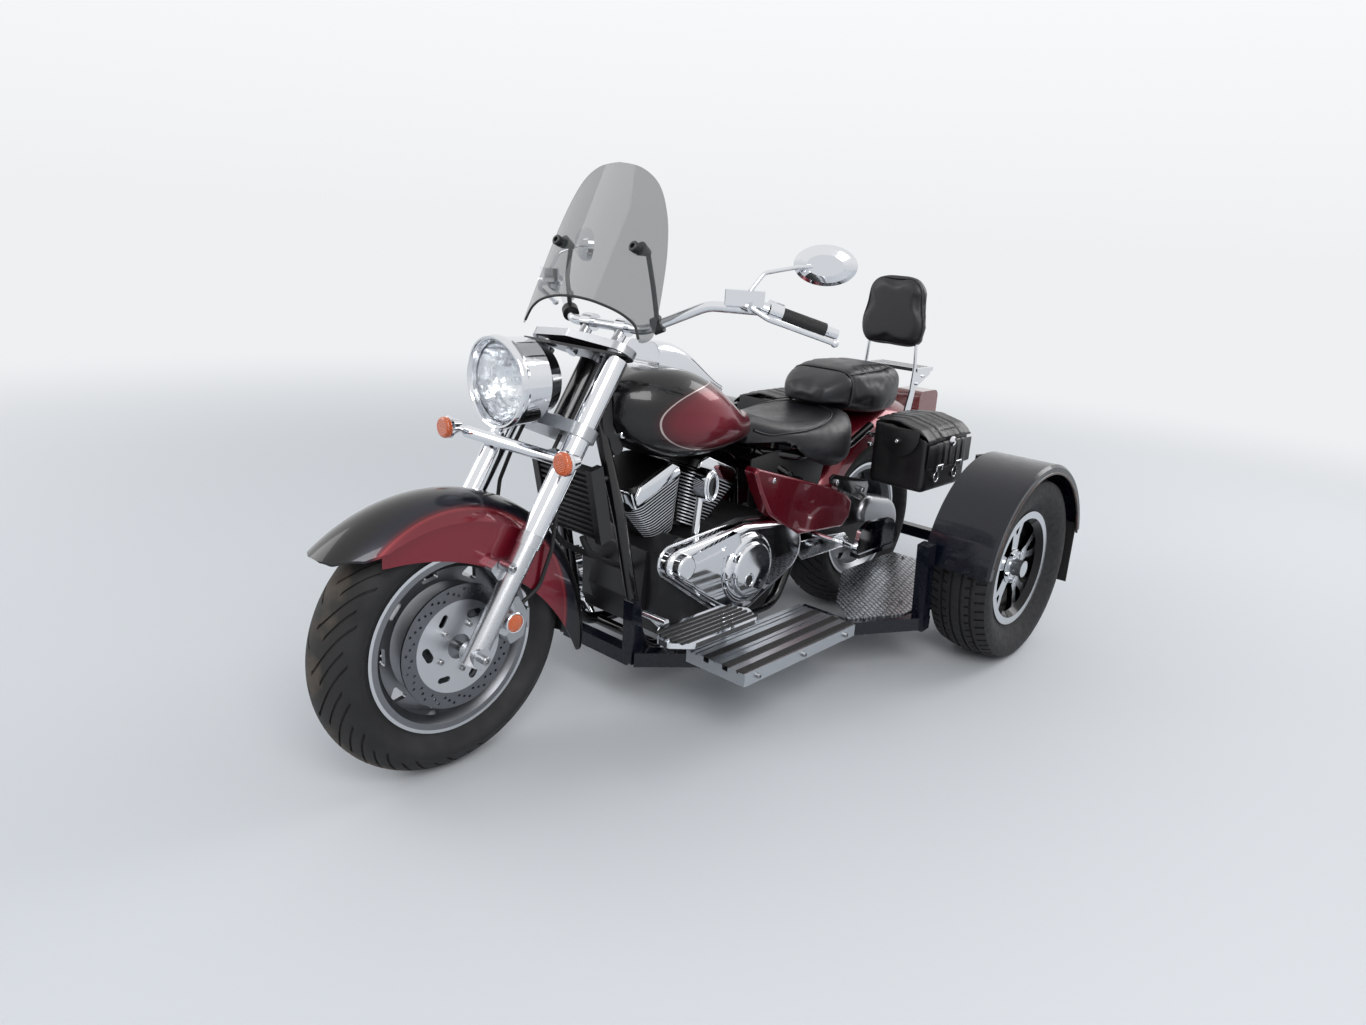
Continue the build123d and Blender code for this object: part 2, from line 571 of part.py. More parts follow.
def frame():
    """The neck, the backbone, twin downtubes that run under the engine, and the seat and fender rails."""
    low, high = NECK_LOW_Z - 20, NECK_HIGH_Z + 20
    bore = rod((0, steer_y(low), low), (0, steer_y(high), high), STEM_R + 1)
    neck = rod((0, steer_y(NECK_LOW_Z), NECK_LOW_Z), (0, steer_y(NECK_HIGH_Z), NECK_HIGH_Z), NECK_R)
    mid = (NECK_LOW_Z + NECK_HIGH_Z) / 2
    spine = [(0, steer_y(mid), mid - 22), (0, -450, 748), (0, -60, 708), (0, 120, 640)]
    spine = pipe(spine, [90, 120], SPINE_R)
    down = pipe([(26, steer_y(mid) + 25, mid - 10), (112, -486, 560), (125, -402, 180), (125, -300, 162),
                 (125, 190, 162), (125, 275, 320), (112, 230, 560), (70, 90, 652)], [60, 90, 10, 80, 60, 60],
                FRAME_TUBE_R)
    rail = pipe([(60, 90, RAIL_Z + 24), (128, 240, RAIL_Z), (130, BACK - 240, RAIL_Z),
                 (130, BACK - 120, RAIL_Z + 52)], [60, 90], RAIL_R)
    tie_r = FRAME_TUBE_R - 2
    tie = rod((-125, -330, 165), (125, -330, 165), tie_r) + rod((-125, 150, 162), (125, 150, 162), tie_r)
    tie += rod((-115, 235, 560), (115, 235, 560), tie_r)
    pivot = both(slab([(SWING_Y - 36, SWING_Z - 38), (SWING_Y + 32, SWING_Z - 38),
                       (SWING_Y + 32, SWING_Z + 36), (SWING_Y - 36, SWING_Z + 36)], 104, 146, 12))
    top = ENGINE_LOW_Z - CLEAR
    pads = both(block(112, 138, -290, -240, 170, top) + block(112, 138, 60, 110, 170, top))
    px, py, pz = STAND_PIVOT
    lug = block(125, px - 12, py - 14, py + 14, pz - 14, pz + 14)
    lug += rod((px - 14, py, pz), (px + 18, py, pz), STAND_PIN_R)
    lug += rod((px + 12, py, pz), (px + 18, py, pz), STAND_PIN_R + 5)
    pegs = rod((-36, -400, 743), (36, -400, 743), 12) + rod((-36, -110, 713), (36, -110, 713), 12)
    pegs += both(rod((112, 233, 560), (158, 233, 560), 8) + rod((116, 247, 470), (158, 247, 470), 8))
    pegs += both(rod((0, -458, 764), (60, -458, 764), 8))
    body = neck + spine + both(down + rail) + tie + pivot + pads + lug + pegs - bore
    return body - rod((-200, SWING_Y, SWING_Z), (200, SWING_Y, SWING_Z), PIVOT_R + FIT)


def neck_covers():
    """Formed covers each side of the neck, bolted to the backbone."""
    outline = [(-516, 868), (-488, 874), (-478, 790), (-436, 722), (-462, 702), (-504, 748), (-516, 800)]
    cover = slab(outline, 60, 70, 12)
    return both(fillet(cover.faces().sort_by(Axis.X)[-1].edges(), 4))


def engine_cases():
    """One plain block for the closed inside, on the outline of the crank and gearbox cases."""
    outline = [(-385, 300), (-350, 210), (-300, ENGINE_LOW_Z), (110, ENGINE_LOW_Z), (196, 300), (200, 400),
               (120, 470), (-60, 492), (-150, 480), (CRANK_Y, 450), (-300, 480), (-372, 440)]
    cases = slab(outline, -ENGINE_HALF, ENGINE_HALF, 14)
    cases -= both(slab([(-420, 150), (-366, 150), (-366, 500), (-420, 500)], 104, 160))
    return cases - both(slab([(150, 150), (260, 150), (260, 560), (190, 560), (178, 300)], 100, 160))


BARREL_BASE, BARREL_TOP, FINS = 150.0, 306.0, 17
FIN_THICK = 3.2
HEAD_HALF_X, HEAD_HALF_Y, HEAD_HIGH = 98.0, 89.0, 34.0


def cylinder():
    """One finned barrel with its head, standing on the crank's axis, before it leans."""
    low = (Align.CENTER, Align.CENTER, Align.MIN)
    body = Pos(0, 0, BARREL_BASE - 12) * Cylinder(54, BARREL_TOP - BARREL_BASE + 24, align=low)
    for i in range(FINS):
        rise = BARREL_BASE + i * (BARREL_TOP - BARREL_BASE) / FINS
        half = rise * sin(radians(V_HALF_ANGLE)) - 8
        fin = RectangleRounded(2 * (86 + 22 * i / FINS), 2 * half, min(40, half - 2))
        body += Pos(0, 0, rise) * extrude(fin, FIN_THICK)
    head = extrude(Pos(0, 0, BARREL_TOP) * RectangleRounded(2 * HEAD_HALF_X, 2 * HEAD_HALF_Y, 40), HEAD_HIGH)
    return body + chamfer(head.faces().sort_by(Axis.Z)[-1].edges(), 12)


def cylinders():
    """Two cylinders in a narrow V, the front one leaning forward and the rear one back."""
    made = cylinder()
    front = Pos(0, CRANK_Y, CRANK_Z) * Rot(V_HALF_ANGLE, 0, 0) * made
    rear = Pos(0, CRANK_Y, CRANK_Z) * Rot(-V_HALF_ANGLE, 0, 0) * made
    return front + rear


PRIMARY_LOBES = [(-330, 418, 44), (-60, 345, 138), (132, 372, 88)]
COVER_X = ENGINE_HALF + CLEAR


def hull_cover(lobes, x, depth, edge):
    """A cover whose outline is stretched round (y, z, radius) lobes, with a rounded outer edge."""
    base = make_hull(sum([(Pos(y, z) * Circle(r)).edges() for y, z, r in lobes], ShapeList()))
    cover = extrude(Plane.YZ.offset(x) * base, depth)
    faces = cover.faces().sort_by(Axis.X)
    return fillet((faces[-1] if depth > 0 else faces[0]).edges(), edge)


def primary_cover():
    """The long bright cover on the left: a teardrop with a dome, a front lobe and an arm between them."""
    cover = hull_cover(PRIMARY_LOBES, COVER_X, 46, 22)
    dome = boss(COVER_X + 30, -52, 352, 106, 32, 18)
    crown = boss(COVER_X + 61, -52, 352, 82, 12, 10)
    lobe = boss(COVER_X + 20, -330, 418, 34, 48, 8)
    arm = slab([(-336, 440), (-112, 474), (-92, 420), (-322, 394)], COVER_X + 30, COVER_X + 58, 10)
    groove = slab([(-292, 427), (-170, 445), (-168, 433), (-290, 415)], COVER_X + 52, COVER_X + 60, 5)
    return cover + dome + crown + lobe + (arm - groove)


def clutch_cover():
    cover = hull_cover([(-250, 350, 96), (-50, 330, 128)], -COVER_X, -38, 16)
    return cover + boss(-COVER_X - 20, -50, 330, 100, -36, 14)


def intake_cover():
    """A bright oval between the cylinders on the left, on a stalk from the cases."""
    oval = extrude(Plane.YZ.offset(118) * Pos(-190, 606) * Ellipse(27, 46), 46)
    oval = fillet(oval.faces().sort_by(Axis.X)[-1].edges(), 10)
    oval -= extrude(Plane.YZ.offset(158) * Pos(-190, 606) * Ellipse(13, 26), 10)
    oval += rod((128, -196, 580), (140, CRANK_Y, 470), 10)
    return oval + rod((140, CRANK_Y, 478), (140, CRANK_Y, 455), 10)


def oil_cooler():
    """A finned cooler ahead of the downtubes with a bright cover down each side."""
    lean = Pos(0, -549, 600) * Rot(12.4, 0, 0)
    core = lean * block(-92, 92, -16, 16, -92, 92)
    for i in range(12):
        core -= lean * block(-93, 93, -17, -9, -88 + 15 * i, -79 + 15 * i)
    caps = both(Pos(103, -549, 600) * Rot(12.4, 0, 0) * block(-11, 11, -20, 20, -100, 100))
    return core + caps + both(rod((84, -545, 660), (84, -496, 660), 7))


EXHAUST_X = -228.0
PIPE_R = 21.0


def exhaust():
    """Two headers that sweep down the right side into two long mufflers, one over the other."""
    x, tail = EXHAUST_X, BACK + 250
    low, high = 250, 352
    front = [(-98, -388, 590), (-192, -440, 560), (-226, -400, 372), (x, -318, low), (x, 210, low)]
    rear = [(-98, -72, 590), (-196, -84, 580), (-232, -66, 430), (x, 70, high), (x, 320, high)]
    made = pipe(front, [30, 70, 60], PIPE_R) + pipe(rear, [36, 50, 60], PIPE_R)
    for y, z, r in ((180, low, 46), (290, high, 44)):
        made += rod((x, y, z), (x, y + 70, z), PIPE_R + 1, r) + rod((x, y + 70, z), (x, tail, z), r)
        made -= rod((x, tail - 50, z), (x, tail + 10, z), r - 12)
    return made


# Tank, seats and bodywork

TANK_SECTIONS = [
    (-482, 70, 790, 880, 34),
    (-420, 140, 725, 912, 80),
    (-270, 186, 684, 920, 100),
    (-110, 168, 688, 846, 78),
    (24, 108, 694, 780, 40),
]


def fuel_tank():
    """A teardrop tank with a tunnel underneath for the backbone."""
    tunnel = block(-36, 36, -520, 60, 600, 790) + block(-36, 36, -520, -430, 600, 840)
    return lofted(TANK_SECTIONS) - tunnel


def tank_console():
    """The bright instrument shell on top of the tank."""
    return lofted([
        (-318, 62, 890, 985, 30),
        (-240, 58, 880, 975, 28),
        (-120, 42, 812, 912, 20),
        (-10, 22, 770, 848, 10),
    ])


def rider_seat():
    """A wide dished saddle, hollowed underneath over the backbone and the rails."""
    sections = [(30, 92, 664, 776, 34), (140, 142, 636, 742, 44), (300, 188, 592, 724, 56),
                (440, 186, 572, 742, 62), (500, 150, 612, 752, 50)]
    rail_top = RAIL_Z + RAIL_R + CLEAR
    pan = block(-150, 150, 250, 520, 540, rail_top) + block(-150, 150, -20, 252, 540, rail_top + 34)
    return lofted(sections) - pan - block(-50, 50, -20, 200, 540, 708)


def passenger_seat():
    y0, y1 = BACK - 345, BACK + 90
    sections = [(y0, 76, 756, 812, 26), (y0 + 50, 116, 744, 838, 36), (y0 + 130, 138, 728, 866, 46),
                (y0 + 210, 146, 716, 872, 46), (y1 - 70, 136, 716, 866, 46), (y1, 104, 724, 838, 34)]
    return lofted(sections) - rear_fender_form(CLEAR) - block(-200, 200, y0 - 20, BACK - 250, 600, 758)


def side_covers():
    """Flat triangular panels under the seat with a raised middle."""
    outline = [(-50, 630), (-36, 642), (330, 532), (430, 494), (468, 465), (462, 416), (424, 386),
               (186, 404), (107, 450), (34, 495), (-13, 562)]
    panel = slab(outline, 158, 200, 6)
    return both(fillet(panel.faces().sort_by(Axis.X)[-1].edges(), 9))


REAR_FENDER_HALF = 112.0
REAR_FENDER_CROWN = 60.0
REAR_FENDER_SKIRT = 150.0
REAR_FENDER_CENTRE = (BACK + 77.5, 232.0)
REAR_FENDER_R = 507.0
REAR_FENDER_TAIL, REAR_FENDER_FRONT = 35.0, 148.0


def rear_fender_form(grow):
    """The fender's filled outline, used to clear what sits on it."""
    half, r = REAR_FENDER_HALF + grow, REAR_FENDER_R + grow
    return crowned_shell(REAR_FENDER_CENTRE, r, half, REAR_FENDER_CROWN, REAR_FENDER_SKIRT, None, 10, 170)


def rear_fender():
    """A long flared fender: a crowned shell that ends in a lip above the plate."""
    shell = crowned_shell(REAR_FENDER_CENTRE, REAR_FENDER_R, REAR_FENDER_HALF, REAR_FENDER_CROWN,
                          REAR_FENDER_SKIRT, WALL, REAR_FENDER_TAIL, REAR_FENDER_FRONT)
    return shell - rod((-200, *REAR_AXLE), (200, *REAR_AXLE), REAR_TYRE_R - 20)


def rear_fender_top(y, reach=0.0):
    """How high the fender's crown, or a line a little inside it, is at y."""
    return REAR_FENDER_CENTRE[1] + sqrt((REAR_FENDER_R - reach) ** 2 - (y - REAR_FENDER_CENTRE[0]) ** 2)


LAMP_BAR_Y, LAMP_BAR_Z = BACK + 400.0, 560.0
PLATE_HOLE_X, PLATE_HOLE_Z, PLATE_HOLE_R = 60.0, 430.0, 3.5


def rear_lamps():
    """The tail lamp on the fender, an indicator each side, and the plate holder under its lip."""
    lamp = block(-52, 52, BACK + 335, BACK + 470, 560, 742)
    lamp = fillet(lamp.edges().filter_by(Axis.X), 26)
    y, z = LAMP_BAR_Y, LAMP_BAR_Z
    arm = both(rod((100, y, z), (150, y, z), 9) + rod((150, y - 14, z), (150, y + 28, z), 18, 26)
               + rod((150, y + 28, z), (150, y + 42, z), 26, 22))
    end_y = REAR_FENDER_CENTRE[0] + REAR_FENDER_R * cos(radians(REAR_FENDER_TAIL))
    holder = block(-88, 88, PLATE_Y - 5, PLATE_Y, 400, 520)
    holder += block(-15, 15, end_y - 60, PLATE_Y - 3, 480, 500)
    holder += block(-15, 15, end_y - 60, end_y - 30, 480, rear_fender_top(end_y - 45, WALL) + 2)
    body = (lamp + arm - rear_fender_form(0)) + holder
    for x in (-PLATE_HOLE_X, PLATE_HOLE_X):
        body -= rod((x, PLATE_Y - 60, PLATE_HOLE_Z), (x, PLATE_Y + 40, PLATE_HOLE_Z), PLATE_HOLE_R)
    return body


ARM_X0, ARM_X1 = 104.0, 160.0
ARM_END_Y = BACK - 60.0


def swingarm():
    """A fork of two deep arms on a cross tube, pivoted in the frame, with the axle in the right arm."""
    y, z = REAR_AXLE
    left = [(240, 316), (240, 380), (420, 372), (ARM_END_Y, z + 33), (ARM_END_Y, z - 31), (300, 300)]
    right = [(240, 322), (240, 374), (420, 362), (y + 40, z + 30), (y + 40, z - 27), (300, 305)]
    arm = slab(left, ARM_X0, ARM_X1, 10) + slab(right, -140, -ARM_X0, 10)
    arm += block(-110, 110, 340, 396, 312, 368)
    arm -= both(block(98, 170, SWING_Y - 43, SWING_Y + 38, 300, 392))
    arm += block(-102, 102, 235, 350, 322, 372)
    arm += rod((-170, SWING_Y, SWING_Z), (170, SWING_Y, SWING_Z), PIVOT_R)
    return arm - rod((-180, y, z), (-60, y, z), AXLE_R + FIT)


def final_drive():
    """The round bevel-drive housing on the left of the rear hub, bolted to the end of the shaft arm."""
    y, z = REAR_AXLE
    case = hull_cover([(y, z + 2, 96), (y - 98, z + 62, 60)], 92, 66, 24)
    case -= block(90, 170, y - 260, ARM_END_Y + CLEAR, z - 120, z + 34)
    return case - rod((60, y, z), (180, y, z), AXLE_R + FIT)


def rear_axle():
    axle = rod((-158, *REAR_AXLE), (170, *REAR_AXLE), AXLE_R)
    return axle + rod((158.4, *REAR_AXLE), (172, *REAR_AXLE), AXLE_R + 9)


BOARD_TOP_Z = 298.0


def floorboards():
    """The rider's rubber-topped boards and the passenger's small boards folded up on their hinges."""
    board = Polygon((-196, -20), (-150, -62), (100, -62), (140, 0), (100, 62), (-150, 62), (-196, 20),
                    align=None)
    board = fillet(board.vertices(), 18)
    low = BOARD_TOP_Z - 14
    rider = Pos(312, -318, low) * Rot(0, 0, 90) * extrude(board, 14)
    for y in (-330, -215):
        arm = [(138, y, 172), (168, y, low - 77), (267, y, low - 77), (267, y, low + 2)]
        rider += pipe(arm, [14, 14], 9)
    shape = Polygon((-120, 0), (132, 0), (122, 50), (84, 88), (-48, 100), (-100, 78), align=None)
    passenger = extrude(Plane.YZ.offset(286) * Pos(475, 328) * fillet(shape.vertices(), 20), 14)
    passenger += block(270, 304, 376, 580, 316, 330)
    y, z = SWING_Y + 16, SWING_Z + 38
    passenger += pipe([(130, y, z), (281, y, z), (281, 420, 330)], [24], 8)
    return both(rider + passenger)


def foot_controls():
    x = 238
    lever = pipe([(x, -320, 214), (x, -400, 250), (x, -496, 338)], [40], 6)
    lever += rod((x - 11, -496, 338), (x + 66, -496, 338), 9)
    return both(lever + rod((150, -321, 215), (x + 11, -321, 215), 9))


RACK_TOP_Z = 845.0
RACK_HALF = 108.0
RACK_Y0, RACK_Y1 = BACK + 189.5, BACK + 299.5
RACK_BARS = 5
RACK_PLATE_X = 97.0
BACKREST_Y = BACK + 150.0
LEG_PATH = [(100, BACK + 168, 735), (100, BACK + 180, 850), (84, BACK + 179, 1050)]


def luggage_rack():
    """Side plates on the fender, a flat rack of bars behind, and the legs of the backrest."""
    plate = [(136, 640), (180, 640), (184, 700), (202, 778), (288, 818), (296, 834), (186, 834), (146, 705)]
    plate = [(BACK + y, z) for y, z in plate]
    sides = slab(plate, RACK_PLATE_X, RACK_PLATE_X + 6, 4) + pipe(LEG_PATH, [60], 6)
    sides += block(RACK_PLATE_X - 2, RACK_HALF, RACK_Y0, RACK_Y1, 831, RACK_TOP_Z)
    for y in (BACK - 140, BACK + 30):
        sides += rod((110, y, 655), (BAG_X0, y, 655), 9)
    rack = both(sides - rear_fender_form(0))
    for i in range(RACK_BARS):
        y = RACK_Y0 + 7 + (RACK_Y1 - RACK_Y0 - 14) * i / (RACK_BARS - 1)
        rack += block(1 - RACK_PLATE_X, RACK_PLATE_X - 1, y - 7, y + 7, 833, RACK_TOP_Z)
    return rack


def backrest_pad():
    """A rounded upright pad, grooved at the back for its two legs."""
    face = Polygon((-112, 912), (112, 912), (130, 985), (106, 1160), (-106, 1160), (-130, 985), align=None)
    face = fillet(face.vertices().group_by(Axis.Y)[-1], 70)
    face = fillet(face.vertices().group_by(Axis.Y)[0], 40)
    pad = extrude(Plane.XZ.offset(-BACKREST_Y) * face, -52)
    pad = fillet(pad.faces().sort_by(Axis.Y)[0].edges(), 18)
    return pad - both(pipe(LEG_PATH, [60], 6 + CLEAR))


BAG_X0, BAG_X1 = 190.0, 388.0
BAG_Y0, BAG_Y1 = BACK - 200.0, BACK + 72.0
BAG_Z0, BAG_Z1 = 515.0, 716.0
BAG_WALL = 8.0
BAG_CORNER = 16.0
LID_SLOPE = 34.0
LID_LOW_Z = 590.0
LID_PIN_R = 4.0
LID_PIVOT_X, LID_PIVOT_Z = BAG_X0 + 3.0, BAG_Z1 + 8.0


def saddlebags():
    """Stiff leather boxes, open under the flap, whose top edge falls away outwards."""
    bag = block(BAG_X0, BAG_X1, BAG_Y0, BAG_Y1, BAG_Z0, BAG_Z1)
    bag = fillet(bag.edges().filter_by(Axis.Z) + bag.faces().sort_by(Axis.Z)[0].edges(), BAG_CORNER)
    w = BAG_WALL
    bag -= block(BAG_X0 + w, BAG_X1 - w, BAG_Y0 + w, BAG_Y1 - w, BAG_Z0 + w, BAG_Z1 + 20)
    top = Polygon((BAG_X0 + 70, BAG_Z1), (BAG_X1 + 20, BAG_Z1 - LID_SLOPE - 6), (BAG_X1 + 20, BAG_Z1 + 20),
                  (BAG_X0 + 70, BAG_Z1 + 20), align=None)
    bag -= extrude(Plane.XZ.offset(-BAG_Y1 - 6) * top, BAG_Y1 - BAG_Y0 + 12, dir=(0, -1, 0))
    inset = BAG_CORNER + 2
    seat_z = LID_PIVOT_Z - LID_PIN_R - CLEAR
    return both(bag + block(BAG_X0, BAG_X0 + w, BAG_Y0 + inset, BAG_Y1 - inset, BAG_Z1 - 1, seat_z))


def bag_lid(side):
    """The flap: a top that falls outwards, with a rolled front that hangs over the bag's outer face."""
    gap, thick = 6.0, 5.0
    x1 = BAG_X1 + gap + thick
    low = BAG_Z1 + gap
    outer = [(BAG_X0 + 4, low + thick), (BAG_X0 + 90, low + thick + 6), (x1 - 40, low - LID_SLOPE + 26),
             (x1 - 8, low - LID_SLOPE), (x1, low - LID_SLOPE - 24), (x1, LID_LOW_Z)]
    inner = [(x1 - thick, LID_LOW_Z), (x1 - thick, low - LID_SLOPE - 20), (BAG_X1, low - LID_SLOPE + 2),
             (BAG_X0 + 90, low + 4), (BAG_X0 + 4, low)]
    outline = outer + inner
    face = Plane.XZ.offset(-BAG_Y1 - 6) * Polygon(*outline, align=None)
    flap = extrude(face, BAG_Y1 - BAG_Y0 + 12, dir=(0, -1, 0))
    inset = BAG_CORNER + 2
    x, z = LID_PIVOT_X, LID_PIVOT_Z
    flap += rod((x, BAG_Y0 + inset, z), (x, BAG_Y1 - inset, z), LID_PIN_R)
    return flap if side > 0 else mirror(flap, about=Plane.YZ)


def side_stand():
    """A folded prop stand: its eye on the frame rail, the leg back, and a foot."""
    px, py, pz = STAND_PIVOT
    leg = rod((px, py, pz), (px, py + 140, pz), 9)
    leg += rod((px - 11, py, pz), (px + 11, py, pz), 16)
    leg += Pos(px + 2, py + 144, pz) * Box(26, 12, 44)
    return leg - rod((px - 20, py, pz), (px + 20, py, pz), STAND_PIN_R + FIT)


# The side-wheel kit

KIT_Z = 165.0
KIT_FRONT = (128.0, -432.0)
KIT_RAIL_X = 250.0
KIT_BEND_Y = -296.0
KIT_CORNER = (517.0, SIDE_AXLE[0] - 348.5)
KIT_ELBOW = (385.0, SIDE_AXLE[0] - 576.0)
KIT_SIDE_X = 445.0
KIT_REAR_Y = SIDE_AXLE[0] + 381.5
KIT_REAR_Z = KIT_Z + KIT_TUBE - 2
POST_TOP_Z = 420.0
SPINDLE_R = 22.0


def kit_frame():
    """Square tubes from the downtubes under the steps and out to the spindles, with two cross bars."""
    t, z = KIT_TUBE, KIT_Z
    y, wheel_z = SIDE_AXLE
    hanger = slab([(-452, 150), (-412, 150), (-404, 200), (-428, 330), (-454, 330)], 110, 144, 6)
    run = [(KIT_FRONT[0] + 6, KIT_FRONT[1]), (KIT_RAIL_X, KIT_BEND_Y), (KIT_RAIL_X, KIT_ELBOW[1]),
           KIT_ELBOW, KIT_CORNER]
    half = hanger
    for (x0, y0), (x1, y1) in zip(run, run[1:]):
        half += square_bar((x0, y0, z), (x1, y1, z), t)
        half += block(x1 - 19, x1 + 19, y1 - 19, y1 + 19, z - t / 2, z + t / 2)
    post_x, post_y = KIT_CORNER
    half += square_bar((post_x, post_y - 4, z - 20), (post_x, post_y - 30, POST_TOP_Z), t)
    half += square_bar((KIT_SIDE_X, post_y - 118, z), (KIT_SIDE_X, KIT_REAR_Y + 20, z), t)
    half += block(KIT_SIDE_X - 20, KIT_SIDE_X + 20, y - 40, y + 40, z, wheel_z + 34)
    half += rod((KIT_SIDE_X, y, wheel_z), (SIDE_WHEEL_X + 42, y, wheel_z), AXLE_R)
    half += rod((KIT_SIDE_X, y, wheel_z), (SIDE_WHEEL_X + 17, y, wheel_z), SPINDLE_R)
    under = wheel_z + KIT_FENDER_R - WALL
    half += rod((KIT_SIDE_X + 10, y, wheel_z + 30), (KIT_SIDE_X + 20, y, under - 12), 12)
    half += rod((KIT_SIDE_X + 18, y, under - 20), (KIT_FENDER_X0 + 13, y, under - 6), 10)
    front = square_bar((-KIT_FRONT[0], KIT_FRONT[1], z), (KIT_FRONT[0], KIT_FRONT[1], z), t)
    end = KIT_SIDE_X + 10
    rear = square_bar((-end, KIT_REAR_Y, KIT_REAR_Z), (end, KIT_REAR_Y, KIT_REAR_Z), t)
    return both(half) + front + rear


DECK_REAR_Y = SIDE_AXLE[0] + 111.5


def kit_deck():
    """Chequered plates that lie on the square tubes beside the rear wheel."""
    x, y = KIT_ELBOW
    outline = Polygon((x + 8, y + 10), (480, KIT_CORNER[1] - 42), (480, DECK_REAR_Y), (140, DECK_REAR_Y),
                      (140, y + 360), (x - 105, y + 118), align=None)
    return both(Pos(0, 0, KIT_Z + KIT_TUBE / 2 + CLEAR) * extrude(outline, 4))


STEP_X0, STEP_X1 = 285.0, 480.0
STEP_Y0, STEP_Y1 = -392.0, 100.0
STEP_Z, STEP_HIGH = 196.0, 34.0
STEP_WIDE_GROOVES = (0.30, 0.62)
STEP_NARROW_GROOVES = (0.08, 0.16, 0.48, 0.86)


def side_steps():
    """Ribbed extruded boards with deep grooves along the top, on two arms from the kit's rail."""
    width = STEP_X1 - STEP_X0
    top = STEP_Z + STEP_HIGH
    board = block(STEP_X0, STEP_X1, STEP_Y0, STEP_Y1, STEP_Z, top)
    for shares, wide, deep in ((STEP_WIDE_GROOVES, 18, 12), (STEP_NARROW_GROOVES, 5, 5)):
        for share in shares:
            x = STEP_X0 + width * share
            board -= block(x, x + wide, STEP_Y0 - 5, STEP_Y1 + 5, top - deep, top + 6)
    inner = KIT_RAIL_X + KIT_TUBE / 2
    for y in (-275, 25):
        board += block(inner, STEP_X1 - 40, y - 15, y + 15, STEP_Z - 26, STEP_Z)
    return both(board)


KIT_FENDER_R = SIDE_TYRE_R + 45.0
KIT_FENDER_X0, KIT_FENDER_X1 = 492.0, 704.0
KIT_FENDER_LIP = 28.0


def kit_fenders():
    """Plain rolled fenders with a turned-down outer lip."""
    r, a, b, w = KIT_FENDER_R, KIT_FENDER_X0, KIT_FENDER_X1, WALL
    lip = r - KIT_FENDER_LIP
    outline = [(a, r - 22), (a, r), (b - 8, r), (b, r - 8), (b, lip), (b - w, lip), (b - w, r - 9),
               (b - 9, r - w), (a + w, r - w), (a + w, r - 22)]
    turned = revolve(make_face(Polyline(*outline, close=True)), axis=Axis.X, revolution_arc=172 - 14)
    return both(Pos(0, *SIDE_AXLE) * Rot(14, 0, 0) * turned)


def mud_flaps():
    y, z = SIDE_AXLE[0] + sqrt((KIT_FENDER_R - WALL) ** 2 - 100 ** 2), SIDE_AXLE[1]
    return both(block(KIT_FENDER_X0 + 16, KIT_FENDER_X1 - 12, y - 5, y, z - 110, z + 100))


NODES = {
    "frame": frame,
    "neck_covers": neck_covers,
    "engine_cases": engine_cases,
    "cylinders": cylinders,
    "primary_cover": primary_cover,
    "clutch_cover": clutch_cover,
    "intake_cover": intake_cover,
    "oil_cooler": oil_cooler,
    "exhaust": exhaust,
    "fuel_tank": fuel_tank,
    "tank_console": tank_console,
    "rider_seat": rider_seat,
    "passenger_seat": passenger_seat,
    "side_covers": side_covers,
    "rear_fender": rear_fender,
    "rear_lamps": rear_lamps,
    "swingarm": swingarm,
    "final_drive": final_drive,
    "rear_axle": rear_axle,
    "floorboards": floorboards,
    "foot_controls": foot_controls,
    "luggage_rack": luggage_rack,
    "backrest_pad": backrest_pad,
    "saddlebags": saddlebags,
    "kit_frame": kit_frame,
    "kit_deck": kit_deck,
    "side_steps": side_steps,
    "kit_fenders": kit_fenders,
    "mud_flaps": mud_flaps,
    "triple_clamps": triple_clamps,
    "fork_legs": fork_legs,
    "fork_tubes": fork_tubes,
    "front_axle": front_axle,
    "front_fender": front_fender,
    "brake_calipers": brake_calipers,
    "headlamp": headlamp,
    "headlamp_lens": headlamp_lens,
    "lamp_plate": lamp_plate,
    "front_indicators": front_indicators,
    "indicator_lenses": indicator_lenses,
    "handlebar": handlebar,
    "grips": grips,
    "hand_controls": hand_controls,
    "mirrors": mirrors,
    "windshield": windshield,
    "windshield_brackets": windshield_brackets,
    "brake_hoses": brake_hoses,
    "front_wheel": front_wheel,
    "front_tyre": front_tyre,
    "front_discs": front_discs,
    "rear_wheel": rear_wheel,
    "rear_tyre": rear_tyre,
    "rear_disc": rear_disc,
    "side_wheel_left": lambda: side_wheel(1),
    "side_tyre_left": lambda: side_tyre(1),
    "side_wheel_right": lambda: side_wheel(-1),
    "side_tyre_right": lambda: side_tyre(-1),
    "side_stand": side_stand,
    "bag_lid_left": lambda: bag_lid(1),
    "bag_lid_right": lambda: bag_lid(-1),
}

